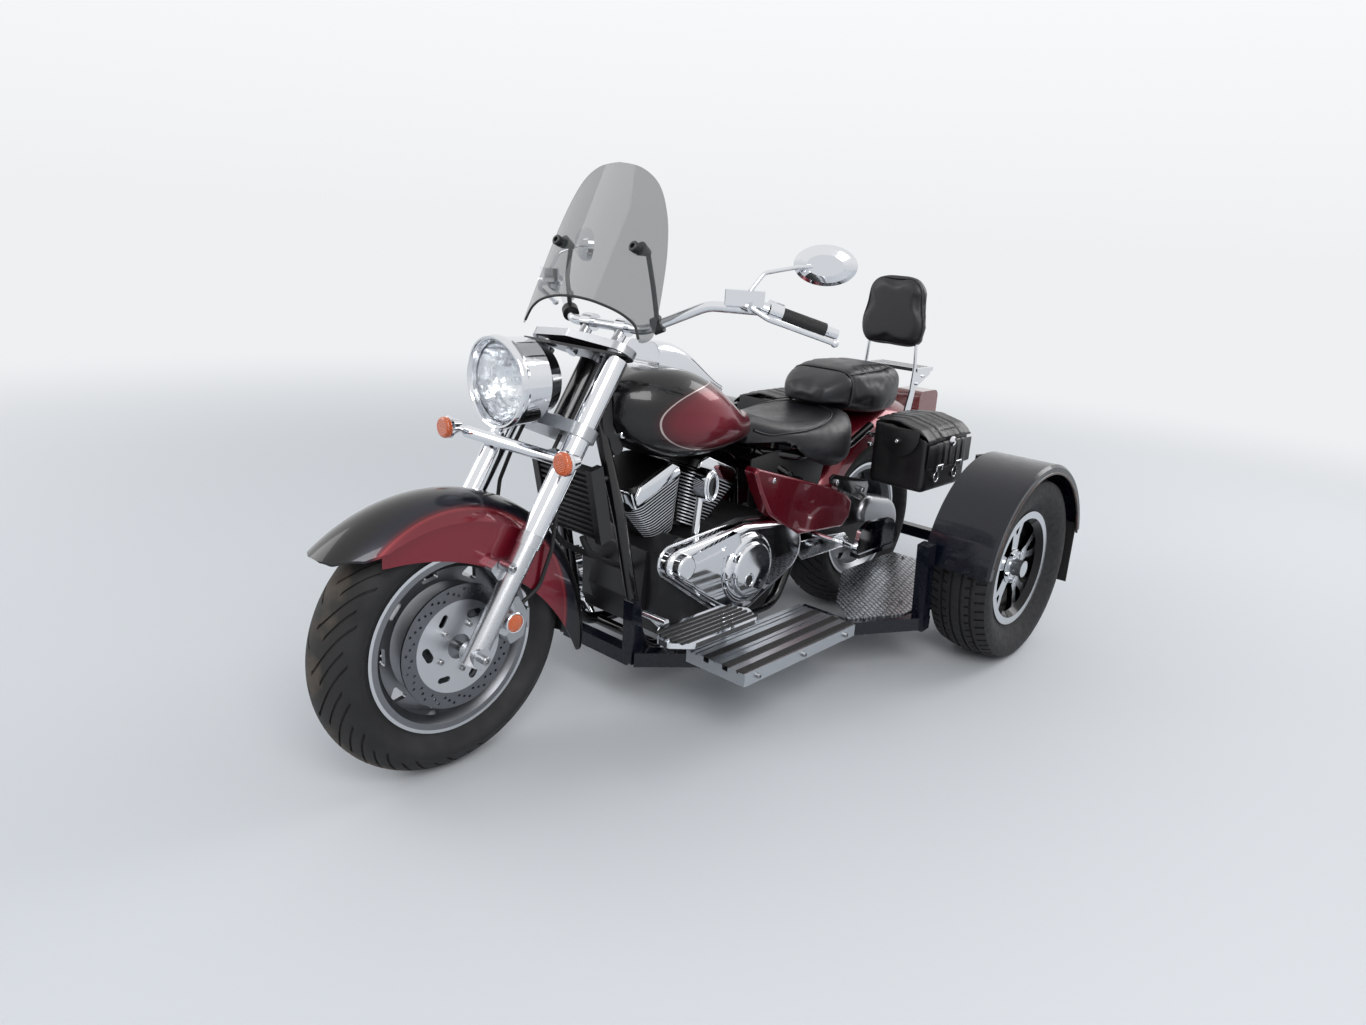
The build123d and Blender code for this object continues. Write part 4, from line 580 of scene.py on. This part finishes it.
def tyre(name, body, node, axle, middle, sizes, columns, sweep, rings, grooves, material):
    """A tyre whose tread is swept by sweep(share) radians and cut where grooves(share, column) says.

    Its sizes are the radius, half the width, the rim's radius and half width, and the crown's height.
    """
    radius, half, rim, rim_half, crown = sizes
    bead, shoulder = rim_half - 0.006, radius - crown
    wide = half - 0.004
    arc = (wide * wide + crown * crown) / (2 * crown)
    belly = (rim + shoulder) / 2 + 0.006
    wall = []
    for i in range(9):
        t = i / 8
        a, b, c = (1 - t) * (1 - 2 * t), 4 * t * (1 - t), t * (2 * t - 1)
        wall.append((a * (bead + 0.003) + b * half + c * wide, a * (rim + 0.008) + b * belly + c * shoulder))
    tread = [wide * (1 - i / 12) for i in range(1, 13)]
    for place, width in rings:
        tread = [x for x in tread if abs(x - place) > width / 2 + 0.001]
        edges = (width / 2, width / 2 - 0.0008)
        tread += [place + x for x in (edges[0], edges[1], -edges[1], -edges[0])]
    tread = sorted(tread, reverse=True)
    depth = {x: 0.007 for place, width in rings for x in tread if abs(x - place) < width / 2 - 0.0005}
    outer = [(x, radius - (arc - sqrt(arc * arc - x * x)) - depth.get(x, 0)) for x in tread if x > 1e-6]
    side = [(bead - 0.012, rim - 0.014), (bead, rim - 0.014)] + wall + outer
    points = side + [(0.0, radius)] + [(-x, r) for x, r in reversed(side)]
    turned([on_wheel(middle + x, r, sweep(min(1.0, abs(x) / wide)), axle) for x, r in points],
           (middle, *axle), (1, 0, 0), columns)

    def cut(face):
        spot = face.calc_center_median()
        out = hypot(spot.y - axle[0], spot.z - axle[1])
        x = spot.x - middle
        if out < shoulder - 0.012 or abs(x) > wide + 0.001:
            return False
        turn = atan2(spot.y - axle[0], spot.z - axle[1]) - sweep(min(1.0, abs(x) / wide))
        return grooves(x / wide, int((turn / (2 * pi) * columns) % columns))

    choose("FACE", cut)
    bpy.ops.mesh.inset(thickness=0.0006, depth=-0.0055, use_even_offset=False)
    return settle(name, body, "tyre", material, hides=[node], smooth=50)


def cruiser_grooves(repeat):
    """Long curved cuts from near the middle to the shoulder, left and right by turns, short ones between."""
    def cut(share, column):
        place = (column + (repeat // 2 if share < 0 else 0)) % repeat
        size = abs(share)
        return (place == 0 and 0.07 < size < 0.97) or (place == repeat // 2 and 0.42 < size < 0.90)
    return cut


def car_grooves(share, column):
    """Slots across the shoulders and fine cuts in the ribs between the straight grooves."""
    size = abs(share)
    return (column % 4 == 0 and size > 0.66) or (column % 4 == 2 and 0.30 < size < 0.50)


def car_sweep(share):
    return 0.05 * share


tyre("front_tyre_treaded", "front_wheel", "front_tyre", FRONT_AXLE, 0.0, (0.323, 0.075, 0.218, 0.052, 0.046),
     200, lambda share: 0.42 * share ** 1.5, [], cruiser_grooves(10), front_rubber)
tyre("rear_tyre_treaded", "rear_wheel", "rear_tyre", REAR_AXLE, 0.0, (0.3165, 0.090, 0.206, 0.066, 0.040),
     200, lambda share: -0.42 * share ** 1.5, [], cruiser_grooves(10), tyre_rubber)
for side, label in ((1, "left"), (-1, "right")):
    tyre("side_tyre_treaded_" + label, "side_wheel_" + label, "side_tyre_" + label, SIDE_AXLE, side * 0.590,
         (0.300, 0.093, 0.186, 0.068, 0.014), 240, car_sweep, [(0.047, 0.008), (0.016, 0.008)], car_grooves,
         tyre_rubber)


# Discs: copies of the turned rotors, drilled in staggered rows

def drilled_disc(node, name, body, axle, xs, radii, count, material):
    """A rotor from its node, drilled count times round at each of its places across, at the radii by turns."""
    piece = copy_of(node)
    nothing_selected()
    bpy.ops.mesh.primitive_cylinder_add(vertices=10, radius=0.0035, depth=0.02, rotation=(0, pi / 2, 0))
    hole = bpy.context.object
    spots = [on_wheel(x, radii[i % len(radii)], 2 * pi * i / count, axle) for x in xs for i in range(count)]
    drill = copies(hole, [Matrix.Translation(spot) for spot in spots])
    active(piece)
    apply_modifier("BOOLEAN", operation="DIFFERENCE", object=drill, solver="EXACT")
    bpy.data.objects.remove(drill)
    active(piece)
    return settle(name, body, "steel", material, hides=[node], smooth=30)


drilled_disc("front_discs", "front_discs_drilled", "front_wheel", FRONT_AXLE, (0.0685, -0.0685),
             (0.124, 0.139, 0.131), 60, front_rotor)
drilled_disc("rear_disc", "rear_disc_drilled", "rear_wheel", REAR_AXLE, (-0.0785,), (0.112, 0.128), 48,
             rear_rotor)

rows = []
for i in range(5):
    turn = 2 * pi * i / 5 + 0.5
    for side, way in ((1, LEFT), (-1, RIGHT)):
        spot = on_wheel(0.0715 * side, 0.056, turn, FRONT_AXLE)
        rows.append((*(spot * 1000), 13, way))
bolts("front_disc_bolts", "front_wheel", "steel", rows)
for side, label, way in ((1, "left", LEFT), (-1, "right", RIGHT)):
    rows = []
    for i in range(5):
        spot = on_wheel(0.6345 * side, 0.050, 2 * pi * (i + 0.5) / 5, SIDE_AXLE)
        rows.append((*(spot * 1000), 17, way))
    bolts("side_wheel_nuts_" + label, "side_wheel_" + label, "steel", rows, chrome)


# Seats: blown up by cloth pressure from a slightly smaller copy of the solid, then sewn

def blown(node, cap, shrink, flat_under):
    """A padded form: the copy swells, no point moves more than the cap, and its underside stays flat."""
    piece = copy_of(node)
    bpy.ops.object.mode_set(mode="EDIT")
    bpy.ops.mesh.select_all(action="SELECT")
    bpy.ops.transform.shrink_fatten(value=-shrink)
    bpy.ops.object.mode_set(mode="OBJECT")
    apply_modifier("REMESH", mode="VOXEL", voxel_size=0.006)
    apply_modifier("SMOOTH", factor=0.5, iterations=6)
    rest = [v.co.copy() for v in piece.data.vertices]
    under = [v.normal.z < -0.55 for v in piece.data.vertices]
    cloth = piece.modifiers.new("cloth", "CLOTH")
    cloth.settings.use_pressure = True
    cloth.settings.uniform_pressure_force = 4.0
    cloth.settings.effector_weights.gravity = 0.0
    cloth.settings.tension_stiffness = 25.0
    cloth.settings.compression_stiffness = 25.0
    cloth.point_cache.frame_start = 1
    cloth.point_cache.frame_end = 20
    for step in range(1, 21):
        bpy.context.scene.frame_set(step)
    bpy.ops.object.modifier_apply(modifier="cloth")
    bpy.context.scene.frame_set(1)
    for vertex, before, low in zip(piece.data.vertices, rest, under):
        move = vertex.co - before
        if low and flat_under:
            move = Vector()
        if move.length > cap:
            move *= cap / move.length
        vertex.co = before + move
    apply_modifier("SMOOTH", factor=0.5, iterations=8)
    apply_modifier("SUBSURF", levels=1, render_levels=1)
    return piece


def sewn(piece, seam, depth, width):
    """Draws the cover in along a seam."""
    tree = kdtree.KDTree(len(seam))
    for i, point in enumerate(seam):
        tree.insert(point, i)
    tree.balance()
    moves = []
    for vertex in piece.data.vertices:
        spot, index, far = tree.find(vertex.co)
        moves.append(vertex.normal * -depth * (1 - far / width) ** 2 if far < width else None)
    for vertex, move in zip(piece.data.vertices, moves):
        if move:
            vertex.co += move


def fine(points, parts=12):
    """Points along a run of straight lines, close enough to sew by."""
    made = []
    for before, after in zip(points, points[1:]):
        made += [before.lerp(after, i / parts) for i in range(parts)]
    return made + [points[-1]]


def seam_over(piece, half):
    """A seam on top of a piece, from (y, x) rows in mm on its left and their mirror image."""
    line = []
    for y, x in half:
        hit, spot, normal, index = piece.ray_cast(mm(x, y, 1100), (0, 0, -1))
        if hit:
            line.append(spot)
    return line + [Vector((-p.x, p.y, p.z)) for p in line[::-1]]


def sunk(line):
    return [p - Vector((0, 0, 0.0012)) for p in line]


def ray_ring(piece, middle, turns, reach=0.6):
    """Where rays from all round in a plane square to Y first meet a piece, at turns from +X in radians."""
    line = []
    for turn in turns:
        way = Vector((cos(turn), 0, sin(turn)))
        hit, spot, normal, index = piece.ray_cast(Vector(middle) + way * reach, -way)
        if hit:
            line.append(spot)
    return line


RIDER_SEAM = ((60, 96), (110, 116), (170, 134), (240, 147), (310, 150), (370, 143), (425, 118), (458, 78),
              (470, 30))
rider = blown("rider_seat", 0.008, 0.005, True)
seam = seam_over(rider, RIDER_SEAM)
sewn(rider, fine(seam), 0.0035, 0.016)
active(rider)
settle("rider_seat_padded", "chassis", "seat", hides=["rider_seat"], smooth=60)
tube(sunk(seam), 0.0032)
settle("rider_seat_piping", "chassis", "seat", smooth=60)

PILLION_SEAM = ((520, 104), (560, 112), (620, 112), (690, 110), (760, 98), (810, 72), (832, 30))
pillion = blown("passenger_seat", 0.008, 0.005, True)
top_seam = seam_over(pillion, PILLION_SEAM)
arch = ray_ring(pillion, mm(0, 520, 740), [radians(174 - 12 * i) for i in range(15)])
for line in (top_seam, arch):
    sewn(pillion, fine(line), 0.004, 0.016)
active(pillion)
settle("passenger_seat_padded", "chassis", "seat", hides=["passenger_seat"], smooth=60)
join([tube(sunk(top_seam), 0.003), tube(arch, 0.0034)])
settle("passenger_seat_piping", "chassis", "seat", smooth=60)

back = blown("backrest_pad", 0.007, 0.004, False)
ring = ray_ring(back, mm(0, 925, 1036), [2 * pi * i / 28 for i in range(28)])
sewn(back, fine(ring + ring[:1]), 0.003, 0.012)
active(back)
settle("backrest_padded", "chassis", "seat", hides=["backrest_pad"], smooth=60)
tube(ring, 0.003, closed=True)
settle("backrest_piping", "chassis", "seat", smooth=60)


# Saddlebags: the leather is remeshed over the solids' places, then puffed and pleated by moving its points

BAG_MIDDLE = 0.6965
BAG_STRAPS = (631, 752)


def near(value, middle, half, soft):
    """1 inside a band, falling softly to 0 outside it."""
    return max(0.0, min(1.0, (half + soft - abs(value - middle)) / soft))


def leather(nodes, name, body, shape):
    """Soft leather from one node: shape gives how far each point moves, from its place and normal."""
    piece = copy_of(nodes)
    apply_modifier("REMESH", mode="VOXEL", voxel_size=0.0045)
    apply_modifier("SMOOTH", factor=0.5, iterations=3)
    for vertex in piece.data.vertices:
        vertex.co += shape(vertex.co.copy(), vertex.normal.copy())
    apply_modifier("SMOOTH", factor=0.4, iterations=2)
    return settle(name, body, "leather", hides=[nodes], smooth=60)


def bag_sag(at, normal):
    """The bag's outer face fills out below the flap and its ends draw in between their corners."""
    out = abs(at.x)
    if out > 0.384 and at.z < 0.588 and abs(normal.x) > 0.5:
        fill = 0.004 * near(at.y, BAG_MIDDLE, 0.07, 0.06) * near(at.z, 0.55, 0.02, 0.03)
        return Vector((copysign(fill, at.x), 0, 0))
    if abs(normal.y) > 0.6 and (at.y < 0.566 or at.y > 0.828):
        drawn_in = 0.0035 * near(out, 0.29, 0.03, 0.06) * near(at.z, 0.61, 0.04, 0.05)
        return Vector((0, -copysign(drawn_in, normal.y), 0))
    return Vector()


def lid_pleats(at, normal):
    """The flap has a raised panel between two pleats and a fine ridge each side, and its top is crowned."""
    across = at.y - BAG_MIDDLE
    out = normal.x * (1 if at.x > 0 else -1)
    if not (normal.z > 0.2 and abs(at.x) > 0.2) and not (abs(at.x) > 0.394 and out > 0.2):
        return Vector()
    ridge = 0.0042 * near(across, 0, 0.052, 0.006) + 0.003 * near(abs(across), 0.078, 0.012, 0.005)
    pleat = -0.002 * near(abs(across), 0.060, 0.002, 0.004) - 0.0025 * near(abs(across), 0.022, 0.0015, 0.004)
    crown = 0.003 * near(across, 0, 0.06, 0.07)
    return normal * (ridge + pleat + crown)


leather("saddlebags", "saddlebags_leather", "chassis", bag_sag)
for side, label in ((1, "left"), (-1, "right")):
    leather("bag_lid_" + label, "bag_lid_leather_" + label, "bag_lid_" + label, lid_pleats)
    body = "bag_lid_" + label
    strap = ((-13, 618), (13, 618), (13, 536), (0, 526), (-13, 536))
    straps = [beside(388, [(y + across, z) for across, z in strap]) for y in BAG_STRAPS]
    join([plate(outline, mm(3.5, 0, 0), 0.001) for outline in straps])
    piece = bpy.context.object
    if side < 0:
        piece.matrix_world = Matrix.Diagonal((-1, 1, 1, 1)) @ piece.matrix_world
        bpy.ops.object.transform_apply(location=True, rotation=True, scale=True)
        bpy.ops.object.mode_set(mode="EDIT")
        closed_up()
    settle("bag_strap_ends_" + label, "chassis", "leather")
    open_ring = [(15 * sin(radians(a)), 563 - 17 * cos(radians(a))) for a in range(-150, 151, 30)]
    join([tube(beside(side * 393.5, [(y + across, z) for across, z in open_ring]), 0.0024) for y in BAG_STRAPS])
    settle("bag_rings_" + label, "chassis", "chrome")
    bars = []
    for y in BAG_STRAPS:
        top = ((403.5, -17, 602), (404.5, 0, 602.5), (403.5, 17, 602))
        bars.append(tube([mm(side * x, y + across, z) for x, across, z in top], 0.0032))
        for end in (y - 17, y + 17):
            bars.append(tube(beside(side * 403, ((end, 603), (end, 585))), 0.0024, smooth=False))
    join(bars)
    settle("bag_buckles_" + label, body, "chrome")
    spun((side * 400, BAG_MIDDLE * 1000, 672), (side, 0, 0), (0, 1, 0),
         ((0, 0), (9, 0), (8.2, 4.5), (6.5, 8.5), (8, 11.5), (5.5, 15.5), (0, 16.5)), 36)
    settle("bag_concho_" + label, body, "chrome", smooth=35)
    flap = [(296 - 66 * cos(radians(d)), 700 - 78 * sin(radians(d))) for d in range(0, 181, 15)]
    plate([mm(side * x, 551.5, z) for x, z in flap + [(362, 712), (230, 712)]], mm(0, 3, 0), 0.001)
    settle("bag_end_flap_" + label, body, "leather")
    bolts("bag_end_stud_" + label, body, "chrome", [(side * 286, 551.6, 668, 13, AHEAD)])


# Headlamp: a faceted bowl, its bulb and the bright bezel; then indicators, mirrors and the screen's trim

LAMP = (0, 0, 908)
spun(LAMP, (0, 1, 0), (1, 0, 0), (
    (-680, 0), (-682, 22), (-690, 24), (-704, 52), (-728, 76), (-756, 90),
    (-770, 94.5), (-770, 92.5), (-755, 88), (-726, 74), (-701, 50), (-677, 0)), 64)
settle("headlamp_reflector", "fork", "chrome", reflector)
spun(LAMP, (0, 1, 0), (1, 0, 0),
     ((-742, 0), (-740, 7), (-733, 10), (-700, 10), (-696, 14), (-683, 14), (-682, 0)), 24)
settle("headlamp_bulb_shield", "fork", "chrome")
spun(LAMP, (0, 1, 0), (1, 0, 0), (
    (-776, 93.5), (-783, 95), (-792, 99), (-793.5, 103.5), (-790, 107), (-782, 108),
    (-774, 106.2), (-770, 105.4), (-790, 103.8), (-789, 99)), 72, closed=True)
settle("headlamp_bezel", "fork", "chrome")

join([spun((x, -768, 762), (0, 1, 0), (1, 0, 0), ((-3, 25.5), (-3, 28.8), (4, 28.8), (6, 27)), 40, closed=True)
      for x in (223, -223)])
settle("indicator_rims", "fork", "chrome")

glass = []
for side in (1, -1):
    turn = radians(32)
    back = Vector((side * sin(turn), -cos(turn), 0)) * -1
    along = Vector((side * cos(turn), sin(turn), 0))
    middle = mm(side * 425, -142, 1206) + back * 0.0065
    turns = [2 * pi * i / 40 for i in range(40)]
    ring = [middle + along * 0.070 * cos(a) + Vector((0, 0, 0.042 * sin(a))) for a in turns]
    glass.append(plate(ring, back * 0.0012))
join(glass)
settle("mirror_glasses", "fork", "chrome", smooth=20)

# The screen's knobs, its sheet, and the black moulding round its notch
SCREEN_LEAN = radians(24)
way = (0, -cos(SCREEN_LEAN), sin(SCREEN_LEAN))
bolts("screen_knobs", "fork", "plastic", [(136, -493, 1219, 26, way), (-136, -493, 1219, 26, way)])


def screen_at(x, z):
    """A place on the screen's front face, across and up in mm."""
    bow = 420 - sqrt(420 ** 2 - x ** 2)
    return mm(x, -598 + (z - 1030) * tan(SCREEN_LEAN) + bow / cos(SCREEN_LEAN), z)


def eased(table, share):
    """A smooth run through a table of (x, z) rows, from 0 at its first row to 1 at its last."""
    place = share * (len(table) - 1)
    i = min(int(place), len(table) - 2)
    t = place - i
    a, b, c, d = [Vector(table[max(0, min(len(table) - 1, k))]) for k in (i - 1, i, i + 1, i + 2)]
    return 0.5 * (2 * b + (c - a) * t + (2 * a - 5 * b + 4 * c - d) * t ** 2 + (3 * b - a - 3 * c + d) * t ** 3)


SCREEN_SIDE = [(216, 1013), (229, 1022), (231, 1045), (219, 1130), (201, 1220), (174, 1300), (132, 1366),
               (72, 1402), (0, 1413)]
SCREEN_NOTCH = [(209, 1014), (202, 1026), (188, 1050), (160, 1068), (130, 1080), (95, 1089), (62, 1095),
                (30, 1098), (0, 1099)]
nothing_selected()
bpy.ops.mesh.primitive_grid_add(x_subdivisions=96, y_subdivisions=24, size=2.0)
screen = bpy.context.object
for vertex in screen.data.vertices:
    side, share = 1 - abs(vertex.co.x), (vertex.co.y + 1) / 2
    row = eased(SCREEN_NOTCH, side).lerp(eased(SCREEN_SIDE, side), share)
    vertex.co = screen_at(row.x * (1 if vertex.co.x > 0 else -1), row.y)
apply_modifier("SOLIDIFY", thickness=0.003, offset=-1.0)
settle("windshield_sheet", "fork", "screen", hides=["windshield"], smooth=50)
edge = [screen_at(x, z) for x, z in [eased(SCREEN_NOTCH, i / 24) for i in range(2, 25)]]
edge = edge + [Vector((-p.x, p.y, p.z)) for p in edge[-2::-1]]
tube([p + Vector((0, 0.0015, 0)) for p in edge], 0.0032)
settle("windshield_notch_trim", "fork", "rubber")

# Caliper reflectors: amber in a bright ring
discs, rings = [], []
for side in (1, -1):
    boss, way = (side * 142, -837, 377), (side, 0, 0)
    discs.append(spun(boss, way, (0, 1, 0), ((0, 0), (5, 0), (4.2, 12), (1, 21), (0, 21.5)), 32))
    ring = ((-1, 21.5), (3.5, 21.5), (4, 23.5), (2.5, 25), (-1, 25))
    rings.append(spun(boss, way, (0, 1, 0), ring, 32, closed=True))
join(discs)
settle("caliper_reflectors", "fork", "amber")
join(rings)
settle("caliper_reflector_rings", "fork", "chrome")

rows = []
for side in (1, -1):
    way = (side, 0, 0)
    rows += [(side * x, y, z, size, way)
             for x, y, z, size in ((158, -857.5, 519, 15), (166.5, -939.5, 323, 20), (113, -805.5, 352, 16))]
bolts("fork_bolts", "fork", "steel", rows)


# Engine: rocker covers on the leaning heads, the covers' rings, plugs and screws

def on_cylinder(lean, x, rise, across):
    """A point given along a leaning cylinder's own axis: rise from the crank, across to its rear."""
    sine, cosine = sin(radians(lean)), cos(radians(lean))
    return Vector((x, CRANK[0] + rise * sine + across * cosine, CRANK[1] + rise * cosine - across * sine))


COVER_SIDE = ((-0.086, 0.300), (0.086, 0.300), (0.086, 0.322), (0.066, 0.345), (-0.060, 0.345),
              (-0.086, 0.325))
COVER_FRONT = ((-0.0905, 0.292), (-0.0905, 0.345), (-0.0965, 0.340), (-0.0965, 0.296))
covers = []
for lean in (-CYLINDER_LEAN, CYLINDER_LEAN):
    points = [on_cylinder(lean, 0.0985, rise, across) for across, rise in COVER_SIDE]
    covers.append(plate(points, (0.010, 0, 0), 0.004, 3))
points = [on_cylinder(-CYLINDER_LEAN, 0.020, rise, across) for across, rise in COVER_FRONT]
covers.append(plate(points, (0.086, 0, 0), 0.0025, 2))
join(covers)
settle("rocker_covers_left", "chassis", "chrome")

# Long cover: three black plugs in bright rims and a raised seam bead round its outline
plugs, rims = [], []
for y, z, r, x in ((-70, 326, 17, 222.5), (-123, 400, 9, 218), (-318, 418, 22, 206.5)):
    plugs.append(spun((x, y, z), LEFT, UP, ((-3, 0), (1.2, 0), (1.2, r * 0.8), (0.4, r), (-3, r)), 32))
    rim = ((-2, r), (1.6, r), (2.2, r + 1.6), (1, r + 4), (-2, r + 4))
    rims.append(spun((x, y, z), LEFT, UP, rim, 40, closed=True))
join(plugs)
settle("primary_plugs", "chassis", "black_alloy")
join(rims)
settle("primary_plug_rims", "chassis", "chrome")


def round_lobes(lobes, grow, step=12):
    """The taut outline round the lobes of a cover, as (y, z) points in mm."""
    found = []
    for k in range(0, 360, step):
        way = (cos(radians(k)), sin(radians(k)))
        y, z, r = max(lobes, key=lambda l: l[0] * way[0] + l[1] * way[1] + l[2])
        found.append((y + (r + grow) * way[0], z + (r + grow) * way[1]))
    return found


PRIMARY = ((-330, 418, 44), (-60, 345, 138), (132, 372, 88))
tube(beside(152.5, round_lobes(PRIMARY, 1.5)), 0.0035, closed=True)
settle("primary_seam_bead", "chassis", "chrome")

# Intake cover: a dark dished disc in the oval's bright ring
INTAKE = (164, -190, 606)
piece = spun(INTAKE, LEFT, UP, ((-1, 0), (0.5, 0), (1.5, 13), (0.5, 20), (-1, 21)), 40)
bpy.ops.object.mode_set(mode="OBJECT")
middle = Matrix.Translation(mm(*INTAKE))
piece.matrix_world = middle @ Matrix.Diagonal((1, 0.72, 1.25, 1)) @ middle.inverted()
bpy.ops.object.transform_apply(location=True, rotation=True, scale=True)
settle("intake_dish", "chassis", "black_alloy", black_gloss)
ring = [(-190 + 21 * cos(radians(d)), 606 + 38 * sin(radians(d))) for d in range(0, 360, 15)]
tube(beside(164.5, ring), 0.0035, closed=True)
settle("intake_ring", "chassis", "chrome")

# Screws and bolts on the chassis, listed from the photograph
bolts("chassis_bolts", "chassis", "chrome", [
    (200, 28, 599, 16, LEFT), (200, 356, 545, 18, LEFT), (200, 510, 497, 18, LEFT), (71, -454, 763, 20, LEFT),
    (181, 469, 330, 24, LEFT), (159, 760.5, 316.5, 30, LEFT), (200, 529, 645, 18, LEFT),
    (104, 1000, 815, 9, LEFT), (104, 960, 790, 9, LEFT), (-104, 1000, 815, 9, RIGHT), (-104, 960, 790, 9, RIGHT)])

# Linkage plate and swingarm cover
LINKAGE = ((330, 560), (350, 569), (548, 522), (560, 500), (548, 470), (517, 458), (336, 540))
plate(beside(190, LINKAGE), (0.009, 0, 0), 0.003)
settle("linkage_plate", "chassis", "black_alloy", black_gloss)
ARM_COVER = ((222, 372), (300, 368), (479, 352), (496, 330), (494, 308), (470, 302), (250, 305), (222, 330))
plate(beside(172, ARM_COVER), (0.009, 0, 0), 0.004, 3)
settle("swingarm_cover", "chassis", "chrome")

# Black inner panels that close the space between the seat and the side covers
INNER = ((40, 500), (40, 640), (160, 652), (300, 640), (424, 600), (396, 500), (330, 470), (120, 470))
join([plate(beside(side * 106, INNER), mm(side * 5, 0, 0), 0.002) for side in (1, -1)])
settle("inner_panels", "chassis", "plastic")

# Pipes from the oil cooler between the downtubes
join([tube([mm(x, -560, 508), mm(x, -548, 470), mm(x * 0.9, -470, 420), mm(x * 0.8, -380, 380)], 0.0085)
      for x in (-58, 58)])
settle("oil_lines", "chassis", "rubber")


# Side-wheel kit: three wide black grip strips along each step, bolts, and the fenders' rolled edge

def strips(name, profile, places, begin, length):
    """Rubber strips along Y on both sides, from (across, up) rows in mm at each place across."""
    join([plate([mm(side * (x + across), begin, up) for across, up in profile], mm(0, length, 0))
          for side in (1, -1) for x in places])
    settle(name, "chassis", "rubber", smooth=30)


STRIP = ((0, 229.6), (26, 229.6), (26, 230.8), (24, 232.0), (14, 231.4), (12, 231.4), (2, 232.0), (0, 230.8))
strips("step_grip_strips", STRIP, (339.5, 401.9, 448.75), -391, 490)
DECK_BOLTS = ((420, 250), (420, 460), (470, 560), (470, 700), (470, 850), (200, 850), (330, 850))
rows = []
for side in (1, -1):
    way = (side, 0, 0)
    rows += [(side * 480, y, 213, 14, way) for y in (-340, -146, 50)]
    rows += [(side * 465, y, 290, 20, way) for y in (740, 797)]
    rows += [(side * x, y, 189, 10, UP) for x, y in DECK_BOLTS]
bolts("kit_bolts", "chassis", "steel", rows)
lip = [(768.5 + 319 * sin(radians(a)), 300 + 319 * cos(radians(a))) for a in range(-76, 83, 9)]
join([tube(beside(side * 702.5, lip), 0.0042) for side in (1, -1)])
copper_edge, tree, where = start("enamel_worn_to_primer_on_the_rolled_edge", "3A2A22", 0.2, 0.4,
                                 Coat_Weight=0.4)
noise = vary(tree, where, 50.0, 0.3, 0.6)
shade_by(tree, noise, "Fac", ((0.35, "10131C"), (0.6, "4A342A")))
settle("kit_fender_edges", "chassis", "kit_paint", copper_edge)

# Rider's boards: six rubber ribs on each
RIB = ((0, 297.5), (9, 297.5), (7.5, 301.5), (1.5, 301.5))
strips("board_mats", RIB, [264 + 17.5 * i for i in range(6)], -496, 296)


# Studio: a pale floor that fades into a pale surround, and soft lamps

def seen_rays(tree):
    """1 for rays from the camera, and for those that mirrors and glass send on, and 0 for the rest."""
    path = add(tree, "LightPath")
    seen = calc(tree, "MAXIMUM", (path, "Is Camera Ray"), (path, "Is Glossy Ray"))
    return calc(tree, "MAXIMUM", seen, (path, "Is Transmission Ray"))


# Area lamps: name, place, side in metres and power in watts
LAMPS = (
    ("key", (3.2, -2.6, 3.6), 2.4, 110),
    ("fill", (-3.5, -3.0, 3.0), 3.0, 60),
    ("rim", (1.5, 4.0, 3.2), 2.4, 70),
)


def studio():
    nothing_selected()
    bpy.ops.mesh.primitive_plane_add(size=60.0, location=(0, 0, -0.001))
    floor = bpy.context.object
    floor.name = "studio_floor"
    ground, tree, where = start("pale_studio_floor", "D6D8DA", 0.0, 0.6)
    output = tree.nodes["Material Output"]
    far = add(tree, "VectorMath", None, {0: where}, operation="LENGTH")
    fade = add(tree, "MapRange", {"From Min": 2.0, "From Max": 7.0}, {"Value": (far, "Value")},
               interpolation_type="SMOOTHSTEP")
    share = calc(tree, "MULTIPLY", (fade, "Result"), seen_rays(tree))
    glow = add(tree, "Emission", {"Color": linear("EEF0F2"), "Strength": 1.0})
    painted = tree.nodes["Principled BSDF"]
    blend = add(tree, "MixShader", None, {0: share, 1: (painted, "BSDF"), 2: (glow, "Emission")})
    tree.links.new(blend.outputs["Shader"], output.inputs["Surface"])
    floor.data.materials.append(ground)
    world = bpy.data.worlds.new("studio_world")
    bpy.context.scene.world = world
    world.use_nodes = True
    tree = world.node_tree
    sky = tree.nodes["Background"]
    way = add(tree, "TexCoord")
    height = add(tree, "SeparateXYZ", None, {"Vector": (way, "Generated")})
    shade = add(tree, "ValToRGB", None, {"Fac": (height, "Z")})
    shade.color_ramp.elements[0].color = linear("EEF0F2")
    shade.color_ramp.elements[1].color = linear("FFFFFF")
    shade.color_ramp.elements[1].position = 0.35
    pick = add(tree, "Mix", {6: linear("B9BEC5")}, {0: seen_rays(tree), 7: (shade, "Color")},
               data_type="RGBA")
    tree.links.new(pick.outputs[2], sky.inputs["Color"])
    sky.inputs["Strength"].default_value = 1.0
    for name, place, size, power in LAMPS:
        lamp = bpy.data.lights.new(name, "AREA")
        lamp.energy = power
        lamp.size = size
        holder = bpy.data.objects.new(name, lamp)
        bpy.context.collection.objects.link(holder)
        aim = Vector((0, 0, 0.6)) - Vector(place)
        holder.matrix_world = Matrix.Translation(place) @ aim.to_track_quat("-Z", "Y").to_matrix().to_4x4()


studio()

bpy.context.scene.view_settings.view_transform = "Standard"
